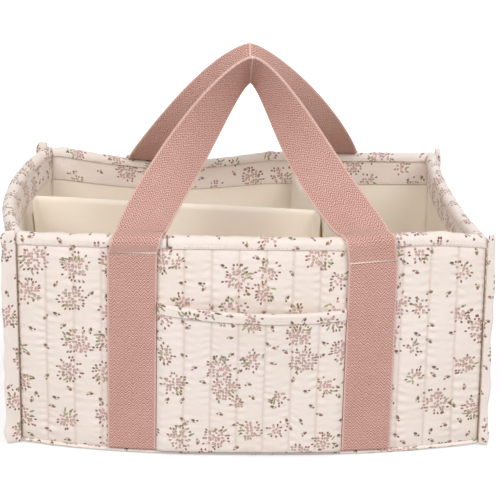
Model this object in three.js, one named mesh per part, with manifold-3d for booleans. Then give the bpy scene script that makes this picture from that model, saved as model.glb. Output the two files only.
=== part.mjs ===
import * as THREE from "three";
import { mergeVertices } from "three/addons/utils/BufferGeometryUtils.js";
import Module from "manifold-3d";

const wasm = await Module();
wasm.setup();

// Quilted caddy with two webbing handles and two loose dividers, in millimetres.
// x runs to the right, y to the back and z up. The origin is on the floor, under the middle.
const caddyWidth = 380;
const caddyDepth = 260;
const caddyHeight = 188;

// The layers of a wall, counted from the outside in
const layGap = 0.4;
const mitreGap = 0.3;
const quiltThickness = 2.4;
const channelPuff = 2.2;
const channelWidth = 22.4;
const crownFade = 9;
const boardThickness = 1.8;
const liningThickness = 1;
const facingThickness = 0.8;
const facingDrop = 31;

// The layers of the floor
const basePanelThickness = 2.6;
const quiltLineDepth = 0.5;
const baseBoardThickness = 2.4;
const baseBoardCorner = 12;

// Folded strips of the same print that bind the edges
const bindingThickness = 1.2;
const rimBandHeight = 9;
const rimInnerHeight = 7.5;
const baseRollHeight = 4;
const baseRollProud = 2.2;
const leftStripReach = 11;
const rightStripReach = 6;
const cornerStripThickness = 4;
const cornerStripRise = 3;
const cornerStripStandoff = 0.8;
const cornerStripTurn = 20;

// How the soft walls have settled
const leftBow = 22;
const rightDip = 6;
const frontFootBelly = 22;
const frontRimBelly = 6;
const backRimDip = 4;
const backRimRise = 2;
const backRimSag = 11;
const backSagPlace = -74;
const backSagReach = 100;
const frontRimRise = 5;
const frontRisePlace = 142;
const frontRiseReach = 62;
const leftFootFlare = 3;
const rightFootFlare = 10;
const rimFlare = 2.5;
const cornerLift = 1;

// Webbing handles
const webbingWidth = 40;
const webbingThickness = 2.2;
const legSpacing = 196;
const legFoot = 5;
const leftStitchDrop = 12;
const rightStitchDrop = 19;
const handleTop = 301;
const apexHalfGap = 0.2;
const strapSideShift = 6;
const frontStrapHang = 8;
const backStrapBow = 3;

// Outer pockets
const pocketHeight = 132;
const pocketSag = 2;
const pocketSlant = 4;
const pocketBulge = 10;
const pocketThickness = 2;
const pocketPuff = 1.8;
const pocketChannels = 7;
const hemHeight = 8;

// Dividers
const dividerThickness = 4.6;
const dividerSkin = 1;
const dividerBoardHeight = 155;
const dividerHeight = 163;
const crossBackPlace = 51;
const crossFrontPlace = 84;
const crossBackClearance = 9;
const crossFrontClearance = 5;
const longRightPlace = -3;
const longLeftPlace = 27;
const longEndClearance = 0.8;
const flapReach = 18;
const flapThickness = 1.2;
const flapLean = 14;
const hookTapeWidth = 14;
const hookTapeThickness = 1;
const hookTapeEnd = 12;
const cutOverrun = 2;

// Places that follow from the sizes above
const halfWidth = caddyWidth / 2;
const halfDepth = caddyDepth / 2;
const boardIn = quiltThickness + layGap;
const liningIn = boardIn + boardThickness + layGap;
const facingIn = liningIn + liningThickness + layGap;
const stackDepth = facingIn + facingThickness;
const rimInnerRadius = stackDepth / 2 + layGap;
const rimOuterRadius = rimInnerRadius + bindingThickness;
const rimCentre = caddyHeight - rimOuterRadius;
const legIn = -(2 * layGap + bindingThickness);
const legOut = legIn - webbingThickness;
const legCentre = legSpacing / 2;
const legInnerEdge = (legSpacing - webbingWidth) / 2;
const legOuterEdge = (legSpacing + webbingWidth) / 2;
const leftStitchHeight = caddyHeight - leftStitchDrop;
const rightStitchHeight = caddyHeight - rightStitchDrop;
const baseBoardFloor = basePanelThickness + layGap;
const baseLiningFloor = baseBoardFloor + baseBoardThickness + layGap;
const insideFloor = baseLiningFloor + liningThickness;

// Shapes of the settling, as shares of the half width, half depth and height
const wallGripShares = [0.5, 0.9];
const cornerLiftShares = [0.6, 1];
const flarePowerShare = 3;
const widthArchShare = 2.6;
const depthArchShare = 2.4;

const printCloth = new THREE.MeshStandardMaterial({ color: 0xf6e9e0, roughness: 0.92, metalness: 0 });
const ivoryCloth = new THREE.MeshStandardMaterial({ color: 0xeee4d2, roughness: 0.9, metalness: 0 });
const roseWebbing = new THREE.MeshStandardMaterial({ color: 0xd3a094, roughness: 0.85, metalness: 0 });
const stiffBoard = new THREE.MeshStandardMaterial({ color: 0xc9c4ba, roughness: 0.8, metalness: 0 });
const hookTape = new THREE.MeshStandardMaterial({ color: 0xf2eee6, roughness: 0.95, metalness: 0 });

const caddy = new THREE.Group();

// General helpers
function clamp(value, low, high) {
  return Math.min(Math.max(value, low), high);
}

function mix(from, to, share) {
  return from + (to - from) * share;
}

function rampShare(value, [low, high]) {
  return clamp((value - low) / (high - low), 0, 1);
}

function evenStops(from, to, count) {
  return Array.from({ length: count + 1 }, (_, i) => mix(from, to, i / count));
}

// The two ends and the stops that lie well between them
const closeStopShare = 0.125;

function stopsBetween(from, to, stops) {
  const least = (closeStopShare * Math.abs(to - from)) / stops.length;
  return [from, ...stops.filter((stop) => stop > from + least && stop < to - least), to];
}

// Lines of quilting, and the rows that a wall bends at
function channelCount(half) {
  return Math.max(3, Math.round((2 * half) / channelWidth));
}

const widthSeams = evenStops(-halfWidth, halfWidth, channelCount(halfWidth));
const depthSeams = evenStops(-halfDepth, halfDepth, channelCount(halfDepth));
const heightRows = evenStops(0, caddyHeight, 4);

// Between two stops every layer runs straight, so that the layers stay parallel
function alongStops(value, stops, shape) {
  const last = stops.length - 1;
  const step = (stops[last] - stops[0]) / last;
  const at = clamp((value - stops[0]) / step, 0, last);
  const i = Math.min(Math.floor(at), last - 1);
  return mix(shape(stops[i]), shape(stops[i + 1]), at - i);
}

// The rim isn't straight: it sags on the left of the back and rises on the right of the front
function bumpShare(x, place, reach) {
  return alongStops(x, widthSeams, (seam) => {
    return Math.cos((rampShare(Math.abs(seam - place), [0, reach]) * Math.PI) / 2);
  });
}

function rimWave(x, y) {
  const rise = frontRimRise * bumpShare(x, frontRisePlace, frontRiseReach);
  const sag = backRimSag * bumpShare(x, backSagPlace, backSagReach);
  return y < 0 ? rise : backRimRise - sag;
}

// Moves a point of the straight box to where the soft caddy has settled
function settled([x, y, z]) {
  const lean = z / caddyHeight;
  const widthArch = alongStops(x, widthSeams, (seam) => 1 - Math.abs(seam / halfWidth) ** widthArchShare);
  const depthArch = alongStops(y, depthSeams, (seam) => 1 - Math.abs(seam / halfDepth) ** depthArchShare);
  const sideGrip = rampShare(Math.abs(x) / halfWidth, wallGripShares);
  const faceGrip = rampShare(Math.abs(y) / halfDepth, wallGripShares);
  const sideMove = (x < 0 ? leftBow : rightDip) * lean;
  const faceMove = y < 0 ? mix(frontFootBelly, frontRimBelly, lean) : backRimDip * lean;
  const spread = mix(x < 0 ? leftFootFlare : rightFootFlare, rimFlare, lean);
  const flare = spread * Math.abs(x / halfWidth) ** flarePowerShare;
  return [
    x + Math.sign(x) * flare - sideMove * sideGrip * depthArch,
    y - faceMove * faceGrip * widthArch,
    z + rimWave(x, y) * lean ** 2 * faceGrip,
  ];
}

// A wall is drawn up at the foot of its corners, off the flat floor panel
function settledWall([x, y, z]) {
  const cornerShare = (value, seams, half) => {
    return alongStops(value, seams, (seam) => rampShare(Math.abs(seam) / half, cornerLiftShares) ** 2);
  };
  const nearCorner = cornerShare(x, widthSeams, halfWidth) * cornerShare(y, depthSeams, halfDepth);
  const lift = cornerLift * nearCorner * (1 - z / caddyHeight);
  return settled([x, y, z + lift]);
}

// Solids from a grid of blocks whose corners are placed one by one
function withFacesOut(geometry) {
  const place = geometry.getAttribute("position");
  const index = geometry.getIndex();
  const corner = [new THREE.Vector3(), new THREE.Vector3(), new THREE.Vector3()];
  let volume = 0;
  for (let i = 0; i < index.count; i += 3) {
    corner.forEach((point, k) => point.fromBufferAttribute(place, index.getX(i + k)));
    volume += corner[0].dot(corner[1].clone().cross(corner[2]));
  }
  if (volume < 0) {
    for (let i = 0; i < index.count; i += 3) {
      const second = index.getX(i + 1);
      index.setX(i + 1, index.getX(i + 2));
      index.setX(i + 2, second);
    }
  }
  geometry.computeVertexNormals();
  return geometry;
}

function bareGeometry(geometry) {
  geometry.deleteAttribute("normal");
  geometry.deleteAttribute("uv");
  return mergeVertices(geometry);
}

// Both faces of a layer are split along the same diagonals, so that twisted layers stay parallel
function matchDiagonals(geometry, { start, count }) {
  const index = geometry.getIndex();
  for (let i = start; i < start + count; i += 6) {
    index.setX(i + 2, index.getX(i + 4));
    index.setX(i + 3, index.getX(i));
  }
}

function gridSolid(runs, rows, layers, placed) {
  const counts = [runs, rows, layers].map((stops) => stops.length - 1);
  const box = new THREE.BoxGeometry(1, 1, 1, ...counts);
  const geometry = bareGeometry(box);
  matchDiagonals(geometry, box.groups[box.groups.length - 1]);
  const place = geometry.getAttribute("position");
  for (let i = 0; i < place.count; i++) {
    const shares = [place.getX(i), place.getY(i), place.getZ(i)];
    const [run, row, layer] = shares.map((share, k) => Math.round((share + 0.5) * counts[k]));
    place.setXYZ(i, ...placed(runs[run], rows[row], layers[layer], { run, row, layer }));
  }
  return withFacesOut(geometry);
}

function solidOf(geometry) {
  return new wasm.Manifold(
    new wasm.Mesh({
      numProp: 3,
      vertProperties: new Float32Array(geometry.getAttribute("position").array),
      triVerts: new Uint32Array(geometry.getIndex().array),
    }),
  );
}

function geometryOf(solid) {
  const { vertProperties, triVerts } = solid.getMesh();
  const geometry = new THREE.BufferGeometry();
  geometry.setAttribute("position", new THREE.BufferAttribute(vertProperties, 3));
  geometry.setIndex(new THREE.BufferAttribute(triVerts, 1));
  geometry.computeVertexNormals();
  return geometry;
}

function addPiece(name, geometry, material) {
  const mesh = new THREE.Mesh(geometry, material);
  mesh.name = name;
  caddy.add(mesh);
}

// The four walls. A wall's run goes to the right on the front and back, and to the back on the sides.
// The depth of a layer is counted inwards from the seam line.
const walls = {
  front: { half: halfWidth, seams: widthSeams, at: (run, depth, z) => [run, depth - halfDepth, z] },
  back: { half: halfWidth, seams: widthSeams, at: (run, depth, z) => [run, halfDepth - depth, z] },
  left: { half: halfDepth, seams: depthSeams, at: (run, depth, z) => [depth - halfWidth, run, z] },
  right: { half: halfDepth, seams: depthSeams, at: (run, depth, z) => [halfWidth - depth, run, z] },
};

// A layer stops short of the corner by its own depth, so that the walls meet at a mitre
function atMitre(wall, run, depth) {
  const most = wall.half - Math.max(depth, 0) - mitreGap;
  return clamp(run, -most, most);
}

// Stops across a quilted wall: every line of quilting and the places between two lines
const quiltSteps = 3;
function quiltStops(seams, steps = quiltSteps) {
  return seams.slice(1).flatMap((seam, i) => {
    return evenStops(seams[i], seam, steps).slice(i ? 1 : 0);
  });
}

const crownPowerShare = 0.7;

function channelCrown(seams, run) {
  const step = seams[1] - seams[0];
  const phase = (run - seams[0]) / step;
  return Math.sin(Math.PI * (phase - Math.floor(phase))) ** crownPowerShare;
}

// A quilted wall is pressed flat along its bound edges, and held down under the webbing
const footFlat = baseRollHeight + layGap;
const footFull = footFlat + crownFade;
const rimFlat = caddyHeight - rimBandHeight - layGap;
const rimFull = rimFlat - crownFade;

function wallCrown(wall, run, z, hasLegs) {
  const quarter = (wall.seams[1] - wall.seams[0]) / 4;
  const place = Math.abs(run);
  const underLeg = hasLegs && place > legInnerEdge - quarter && place < legOuterEdge + quarter;
  const most = underLeg ? -legIn - layGap : channelPuff;
  const free = rampShare(z, [footFlat, footFull]) * rampShare(z, [rimFlat, rimFull]);
  return Math.min(channelPuff * channelCrown(wall.seams, run), most) * free;
}

function quiltedPanel(side, hasLegs) {
  const wall = walls[side];
  const rows = [0, footFlat, ...stopsBetween(footFull, rimFull, heightRows), rimFlat, rimCentre];
  return gridSolid(quiltStops(wall.seams), rows, [0, 1], (run, z, outer) => {
    const depth = outer ? -wallCrown(wall, run, z, hasLegs) : quiltThickness;
    return settledWall(wall.at(atMitre(wall, run, depth), depth, z));
  });
}

// A flat layer of a wall, such as a board, a lining or a facing
function wallLayer(side, outer, thickness, bottom, top) {
  const wall = walls[side];
  const rows = stopsBetween(bottom, top, heightRows);
  return gridSolid(wall.seams, rows, [outer, outer + thickness], (run, z, depth) => {
    return settledWall(wall.at(atMitre(wall, run, depth), depth, z));
  });
}

// The folded band over the rim, an upside-down U with a round top
function rimPath(radius, innerFoot) {
  const centre = stackDepth / 2;
  const arc = evenStops(Math.PI, 0, 4).map((turn) => {
    return [centre + radius * Math.cos(turn), rimCentre + radius * Math.sin(turn)];
  });
  return [[centre - radius, caddyHeight - rimBandHeight], ...arc, [centre + radius, innerFoot]];
}

function rimBinding(side) {
  const wall = walls[side];
  const innerFoot = caddyHeight - rimInnerHeight;
  const paths = [rimPath(rimInnerRadius, innerFoot), rimPath(rimOuterRadius, innerFoot)];
  const around = paths[0].map((_, i) => i);
  return gridSolid(wall.seams, around, [0, 1], (run, i, face) => {
    const [depth, z] = paths[face][i];
    return settledWall(wall.at(atMitre(wall, run, depth), depth, z));
  });
}

// The round roll along the foot of a wall
function baseBinding(side) {
  const wall = walls[side];
  const low = layGap;
  const rows = evenStops(low, baseRollHeight, 3);
  return gridSolid(wall.seams, rows, [0, 1], (run, z, outer) => {
    const round = Math.sin((Math.PI * (z - low)) / (baseRollHeight - low));
    const depth = -layGap - outer * mix(bindingThickness / 2, baseRollProud, round);
    return settledWall(wall.at(atMitre(wall, run, depth), depth, z));
  });
}

// The bound seam allowance that stands out at a corner, thinner at its edge
const cornerEdgeShare = 0.55;

function cornerBinding(xSide, ySide) {
  const stripReach = xSide < 0 ? leftStripReach : rightStripReach;
  const turn = THREE.MathUtils.degToRad(cornerStripTurn);
  const rows = [layGap, ...heightRows.slice(1, -1), caddyHeight, caddyHeight + cornerStripRise];
  const reachStops = evenStops(0, 1, 3);
  const middle = halfDepth + cornerStripThickness / 2 + layGap;
  return gridSolid(reachStops, rows, [-1, 0, 1], (share, z, side, { row }) => {
    const tip = row === rows.length - 1 ? cornerStripRise : 0;
    const reach = share * (stripReach - tip * share);
    const swell = (cornerStripThickness / 2) * (share === 1 ? cornerEdgeShare : 1) * Math.abs(side);
    const out = halfWidth + cornerStripStandoff + reach * Math.cos(turn) - side * swell * Math.sin(turn);
    const back = middle + reach * Math.sin(turn) + side * swell * Math.cos(turn);
    const bulge = share === 1 && side === 0 ? layGap : 0;
    return settledWall([xSide * (out + bulge), ySide * back, z]);
  });
}

// The floor: a quilted panel that lies flat, a straight board and a lining
const floorGripRows = [-1, 1].flatMap((side) => wallGripShares.map((share) => side * share * halfDepth));
const floorRows = [-halfDepth, ...floorGripRows.sort((a, b) => a - b), halfDepth];

function floorPlace(x, y, inset) {
  const mostX = halfWidth - inset;
  const mostY = halfDepth - inset;
  return [clamp(x, -mostX, mostX), clamp(y, -mostY, mostY)];
}

function basePanel() {
  return gridSolid(quiltStops(widthSeams), floorRows, [0, 1], (x, y, upper, { run }) => {
    const onLine = run % quiltSteps === 0 && Math.abs(x) < halfWidth;
    const z = upper ? basePanelThickness : onLine * quiltLineDepth;
    return settled([...floorPlace(x, y, boardIn), z]);
  });
}

function baseLining() {
  const inset = liningIn + liningThickness + layGap;
  const faces = [baseLiningFloor, baseLiningFloor + liningThickness];
  return gridSolid(widthSeams, floorRows, faces, (x, y, z) => settled([...floorPlace(x, y, inset), z]));
}

function baseBoard() {
  const inset = boardIn + boardThickness + layGap;
  const [cutX, y] = floorPlace(halfWidth, halfDepth, inset);
  const [left] = settled([-cutX, 0, 0]);
  const [right] = settled([cutX, 0, 0]);
  const r = baseBoardCorner;
  const outline = new THREE.Shape();
  outline.moveTo(left + r, -y).lineTo(right - r, -y).absarc(right - r, r - y, r, -Math.PI / 2, 0);
  outline.lineTo(right, y - r).absarc(right - r, y - r, r, 0, Math.PI / 2);
  outline.lineTo(left + r, y).absarc(left + r, y - r, r, Math.PI / 2, Math.PI);
  outline.lineTo(left, r - y).absarc(left + r, r - y, r, Math.PI, Math.PI * 1.5);
  const board = new THREE.ExtrudeGeometry(outline, {
    depth: baseBoardThickness,
    bevelEnabled: false,
    curveSegments: 6,
  });
  return withFacesOut(bareGeometry(board.translate(0, 0, baseBoardFloor)));
}

function addShell() {
  for (const side of Object.keys(walls)) {
    const hasLegs = side === "front" || side === "back";
    const facingFoot = caddyHeight - facingDrop;
    addPiece(`${side}_panel`, quiltedPanel(side, hasLegs), printCloth);
    addPiece(`${side}_board`, wallLayer(side, boardIn, boardThickness, baseBoardFloor, rimCentre), stiffBoard);
    addPiece(`${side}_lining`, wallLayer(side, liningIn, liningThickness, baseLiningFloor, rimCentre), ivoryCloth);
    addPiece(`${side}_facing`, wallLayer(side, facingIn, facingThickness, facingFoot, rimCentre), printCloth);
    addPiece(`${side}_rim_binding`, rimBinding(side), printCloth);
    addPiece(`${side}_base_binding`, baseBinding(side), printCloth);
  }
  for (const [ySide, yName] of [[-1, "front"], [1, "back"]]) {
    for (const [xSide, xName] of [[-1, "left"], [1, "right"]]) {
      addPiece(`${yName}_${xName}_corner_binding`, cornerBinding(xSide, ySide), printCloth);
    }
  }
  addPiece("base_panel", basePanel(), printCloth);
  addPiece("base_board", baseBoard(), stiffBoard);
  addPiece("base_lining", baseLining(), ivoryCloth);
}

// Outer pockets between the handle legs
const pocketHalf = legInnerEdge - layGap;
const pocketSeams = evenStops(-pocketHalf, pocketHalf, pocketChannels);
const pocketFoot = legFoot;

function mouthHeight(run) {
  const slant = (pocketSlant / 2) * (run / pocketHalf);
  return pocketHeight - slant - pocketSag * (1 - (run / pocketHalf) ** 2);
}

// How far the pocket's inner face stands off the seam line of the wall
function pocketStandoff(run, rise) {
  const hang = Math.max(0, 1 - (run / pocketHalf) ** 2);
  const edge = rampShare(1 - Math.abs(run) / pocketHalf, [0, 1 / (pocketChannels * 2)]);
  return bindingThickness + 2 * layGap + channelPuff * edge + pocketBulge * hang * rise ** 2;
}

function pocketPanel(side) {
  const wall = walls[side];
  const rows = evenStops(0, 1, 5);
  return gridSolid(quiltStops(pocketSeams), rows, [0, 1], (run, rise, outer) => {
    const z = mix(pocketFoot, mouthHeight(run) - bindingThickness - layGap, rise);
    const plain = rise === 0 || rise === 1 ? 0 : 1;
    const crown = pocketPuff * plain * channelCrown(pocketSeams, run);
    const depth = -pocketStandoff(run, rise) - outer * (pocketThickness + crown);
    return settledWall(wall.at(run, depth, z));
  });
}

function pocketHem(side) {
  const wall = walls[side];
  const inner = -layGap;
  const outer = pocketThickness + pocketPuff / 2 + layGap;
  const fold = bindingThickness;
  const paths = [
    [[inner, hemHeight], [inner, fold], [outer, fold], [outer, hemHeight]],
    [[inner - fold, hemHeight], [inner - fold, 0], [outer + fold, 0], [outer + fold, hemHeight]],
  ];
  return gridSolid(quiltStops(pocketSeams, 2), [0, 1, 2, 3], [0, 1], (run, i, face) => {
    const [out, drop] = paths[face][i];
    const z = mouthHeight(run) - drop;
    const share = clamp((z - pocketFoot) / (mouthHeight(run) - pocketFoot), 0, 1);
    return settledWall(wall.at(run, -pocketStandoff(run, share) - out, z));
  });
}

// Handle legs, sewn flat to the wall from its foot to the row of stitches
function stitchHeightAt(place) {
  return place < 0 ? leftStitchHeight : rightStitchHeight;
}

function sewnLeg(side, place) {
  const wall = walls[side];
  const rows = stopsBetween(legFoot, stitchHeightAt(place), heightRows);
  const half = webbingWidth / 2;
  const runs = stopsBetween(place - half, place + half, widthSeams);
  return gridSolid(runs, rows, [legIn, legOut], (run, z, depth) => {
    return settledWall(wall.at(run, depth, z));
  });
}

// The free loop of a handle. Its centre line climbs straight to the rim, turns over it,
// leans to the middle of the caddy and meets the other leg in a crease at the top.
const loopShares = { overRim: 0.256, underTop: -0.029, topAside: 0.182, topDrop: 0.004 };
const twistPowerShare = 1.3;
const squarePowerShare = 8;
const strapHangPowerShare = 0.75;
const topTilt = Math.PI / 4;

function loopRootReach(ySide) {
  const depth = (legIn + legOut) / 2;
  const corners = [legInnerEdge, legOuterEdge].flatMap((x) => {
    return [leftStitchHeight, rightStitchHeight].map((z) => [x, ySide * (halfDepth - depth), z]);
  });
  return Math.max(...corners.map((corner) => ySide * settledWall(corner)[1]));
}

// Curves of the right leg's centre line, with y counted outwards from the middle of the caddy
function loopCentreLine(ySide) {
  const rootY = loopRootReach(ySide);
  const overTop = caddyHeight + webbingThickness / 2 + 2 * layGap;
  const topY = (webbingWidth / 2) * Math.cos(topTilt) + webbingThickness / 2 + apexHalfGap;
  const reach = rootY - topY;
  const overY = rootY - 2 * rimOuterRadius;
  const root = new THREE.Vector3(legCentre, rootY, rightStitchHeight + layGap);
  const side = new THREE.Vector3(legCentre - strapSideShift / 3, rootY, rimCentre);
  const corner = new THREE.Vector3(legCentre - strapSideShift / 2, rootY, overTop);
  const over = new THREE.Vector3(legCentre - strapSideShift, overY, overTop);
  const pull = new THREE.Vector3(over.x, rootY - reach * loopShares.overRim, overTop + layGap);
  const hang = new THREE.Vector3(
    legCentre * loopShares.topAside,
    topY + reach * loopShares.underTop,
    mix(handleTop, overTop, loopShares.topDrop),
  );
  const top = new THREE.Vector3(0, topY, handleTop);
  return [
    new THREE.LineCurve3(root, side),
    new THREE.QuadraticBezierCurve3(side, corner, over),
    new THREE.CubicBezierCurve3(over, pull, hang, top),
  ];
}

// Stations of the right leg: the centre, the way across to the outer selvedge, and the way out
// of the face that lies outside on the wall and underneath at the top
function loopFrames(ySide) {
  const [straight, turn, climb] = loopCentreLine(ySide);
  const sideways = new THREE.Vector3(1, 0, 0);
  const upTilt = new THREE.Vector3(0, Math.cos(topTilt), Math.sin(topTilt));
  const frames = [];
  for (const [curve, steps] of [[straight, 1], [turn, 5], [climb, 16]]) {
    for (let i = frames.length ? 1 : 0; i <= steps; i++) {
      const climbed = curve === climb ? i / steps : 0;
      const along = curve.getTangent(i / steps);
      const across = sideways.clone().lerp(upTilt, climbed ** twistPowerShare);
      const squared = climbed ? 1 - climbed ** squarePowerShare : 0;
      across.addScaledVector(along, -across.dot(along) * squared).normalize();
      const outside = along.clone().cross(across).normalize();
      frames.push({ centre: curve.getPoint(i / steps), across, outside });
    }
  }
  const crease = frames[frames.length - 1];
  const flat = new THREE.Vector3(0, crease.across.z, -crease.across.y);
  crease.outside = flat.divideScalar(flat.dot(crease.outside));
  return frames;
}

// The right strap of the front loop hangs in towards the middle, and that of the back loop bows out
function strapShift(ySide, z) {
  const climbed = rampShare(z, [caddyHeight, handleTop]);
  const hang = ySide < 0 ? frontStrapHang : -backStrapBow;
  return -hang * Math.sin(Math.PI * climbed ** strapHangPowerShare);
}

// A loop follows the rim where it leaves the wall, and less and less on its way up
function handleLoop(ySide) {
  const frames = loopFrames(ySide);
  const last = frames.length - 1;
  const stations = Array.from({ length: 2 * last + 1 }, (_, i) => i);
  const half = webbingWidth / 2;
  return gridSolid(stations, [-half, 0, half], [-1, 1], (station, across, face) => {
    const xSide = station > last ? -1 : 1;
    const frame = frames[xSide < 0 ? 2 * last - station : station];
    const point = frame.centre.clone().addScaledVector(frame.across, across);
    point.addScaledVector(frame.outside, (face * webbingThickness) / 2);
    if (frame === frames[0]) point.z = stitchHeightAt(xSide) + layGap;
    if (xSide > 0) point.x += strapShift(ySide, frame.centre.z);
    const [x, y] = [xSide * point.x, ySide * point.y];
    const follow = rampShare(handleTop - point.z, [0, handleTop - caddyHeight]);
    const lean = Math.min(point.z / caddyHeight, 1);
    return [x, y, point.z + rimWave(x, y) * lean ** 2 * follow];
  });
}

function addPocketsAndHandles() {
  for (const side of ["front", "back"]) {
    addPiece(`${side}_pocket`, pocketPanel(side), printCloth);
    addPiece(`${side}_pocket_hem`, pocketHem(side), printCloth);
    addPiece(`${side}_left_handle_leg`, sewnLeg(side, -legCentre), roseWebbing);
    addPiece(`${side}_right_handle_leg`, sewnLeg(side, legCentre), roseWebbing);
    addPiece(`${side}_handle_loop`, handleLoop(side === "front" ? -1 : 1), roseWebbing);
  }
}

// A divider stands on the floor lining, in a plan that runs from one place to another.
// Its padded cover holds a board, and a flap at each end is turned along the wall that it meets.
const dividerFoot = insideFloor + layGap;
const dividerTop = dividerFoot + dividerHeight;
const dividerRows = evenStops(dividerFoot, dividerTop, 5);

function dividerBlock({ start, along, aside }, runs, rows, sides) {
  return gridSolid(runs, rows, sides, (run, z, side) => {
    const spot = start.place.clone().addScaledVector(along, run).addScaledVector(aside, side);
    return [spot.x, spot.y, z];
  });
}

// A place on a flap, by its reach from the divider and its depth from the outer face
function flapSpot(end, reach, depth, z) {
  const inwards = new THREE.Vector2(-end.facing.y, end.facing.x).multiplyScalar(end.inSide);
  const lean = (end.lean * (z - dividerFoot)) / dividerHeight;
  return end.place.clone().addScaledVector(end.facing, reach).addScaledVector(inwards, depth - lean);
}

function flapDepth(divider, end, side) {
  return Math.sign(end.facing.dot(divider.aside)) === side ? flapThickness : 0;
}

// Where a face of the flap crosses a face of the divider
function turnSpot(divider, end, side, half, z) {
  const onFlap = flapSpot(end, 0, flapDepth(divider, end, side), z);
  const onFace = end.place.clone().addScaledVector(divider.aside, side * half);
  const run = onFlap.sub(onFace).cross(end.facing) / divider.along.cross(end.facing);
  return onFace.addScaledVector(divider.along, run);
}

// The padded cover is one strip: a flap, the long stretch and another flap
function dividerCover(divider) {
  const flapStations = (end) => [flapReach, flapReach / 2, 0].map((reach) => ({ end, reach }));
  const stations = [
    ...flapStations(divider.start),
    ...evenStops(0, divider.length, 8).slice(1, -1).map((run) => ({ run })),
    ...flapStations(divider.finish).reverse(),
  ];
  return gridSolid(stations, dividerRows, [-1, 1], ({ end, reach, run }, z, side) => {
    const half = (dividerThickness - (z === dividerTop ? dividerSkin : 0)) / 2;
    let spot = divider.start.place.clone();
    if (!end) spot.addScaledVector(divider.along, run).addScaledVector(divider.aside, side * half);
    else if (reach) spot = flapSpot(end, reach, flapDepth(divider, end, side), z);
    else spot = turnSpot(divider, end, side, half, z);
    return [spot.x, spot.y, z];
  });
}

function dividerPieces(start, finish) {
  const length = start.place.distanceTo(finish.place);
  const along = finish.place.clone().sub(start.place).normalize();
  const divider = { start, finish, length, along, aside: new THREE.Vector2(-along.y, along.x) };
  const boardTop = dividerFoot + dividerBoardHeight;
  const boardEnd = dividerThickness;
  const boardHalf = dividerThickness / 2 - dividerSkin - layGap;
  const boardRuns = [boardEnd, length - boardEnd];
  const board = dividerBlock(divider, boardRuns, [dividerFoot, boardTop], [-boardHalf, boardHalf]);
  const slotRuns = [boardEnd - layGap, length - boardEnd + layGap];
  const slotRows = [dividerFoot - cutOverrun, boardTop + layGap];
  const slot = dividerBlock(divider, slotRuns, slotRows, [-boardHalf - layGap, boardHalf + layGap]);
  const tapeRows = stopsBetween(dividerFoot + hookTapeEnd, dividerTop - hookTapeEnd, dividerRows);
  const tapeReaches = [flapReach - hookTapeWidth, flapReach];
  const tapes = [start, finish].map((end) => {
    return gridSolid(tapeReaches, tapeRows, [-layGap - hookTapeThickness, -layGap], (reach, z, depth) => {
      const spot = flapSpot(end, reach, depth, z);
      return [spot.x, spot.y, z];
    });
  });
  const cover = geometryOf(solidOf(dividerCover(divider)).subtract(solidOf(slot)));
  return { cover, board, tapes };
}

function addDividers() {
  const inside = halfDepth - stackDepth;
  const tapeRoom = hookTapeThickness + 2 * layGap;
  const crossBack = new THREE.Vector2(crossBackPlace, inside - crossBackClearance);
  const crossFront = new THREE.Vector2(crossFrontPlace, crossFrontClearance - inside);
  const crossAlong = crossFront.clone().sub(crossBack).normalize();
  const cross = dividerPieces(
    { place: crossBack, facing: new THREE.Vector2(1, 0), inSide: -1, lean: 0 },
    { place: crossFront, facing: new THREE.Vector2(1, 0), inSide: 1, lean: 0 },
  );
  const meeting = crossBack.clone();
  meeting.addScaledVector(crossAlong, (longRightPlace - crossBack.y) / crossAlong.y);
  const meetingGap = dividerThickness / 2 + tapeRoom + longEndClearance;
  meeting.addScaledVector(new THREE.Vector2(crossAlong.y, -crossAlong.x), meetingGap);
  const longLeft = new THREE.Vector2(stackDepth + tapeRoom - halfWidth, longLeftPlace);
  const long = dividerPieces(
    { place: longLeft, facing: new THREE.Vector2(0, -1), inSide: 1, lean: flapLean },
    { place: meeting, facing: crossAlong, inSide: -1, lean: 0 },
  );
  const dividers = [
    ["cross_divider", cross, ["back", "front"]],
    ["long_divider", long, ["left", "right"]],
  ];
  for (const [name, { cover, board, tapes }, ends] of dividers) {
    addPiece(`${name}_cover`, cover, ivoryCloth);
    addPiece(`${name}_board`, board, stiffBoard);
    tapes.forEach((tape, i) => addPiece(`${name}_${ends[i]}_hook_tape`, tape, hookTape));
  }
}

addShell();
addPocketsAndHandles();
addDividers();

export default caddy;
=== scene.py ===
# %% [markdown]
# # A quilted nursery caddy
# The caddy is sewn from padded print cloth over stiff boards, lined with ivory cotton and
# carried by two loops of rose webbing. The CAD model gives every piece its place. It could be
# dressed by adding materials to the CAD solids, but those are coarse. Here each soft piece is
# made again with real puff, folds and threads, and the CAD boards stay as they are.

from math import cos, pi, radians, sin

import bmesh
import bpy
import numpy as np
from mathutils import Matrix, Vector


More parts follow.
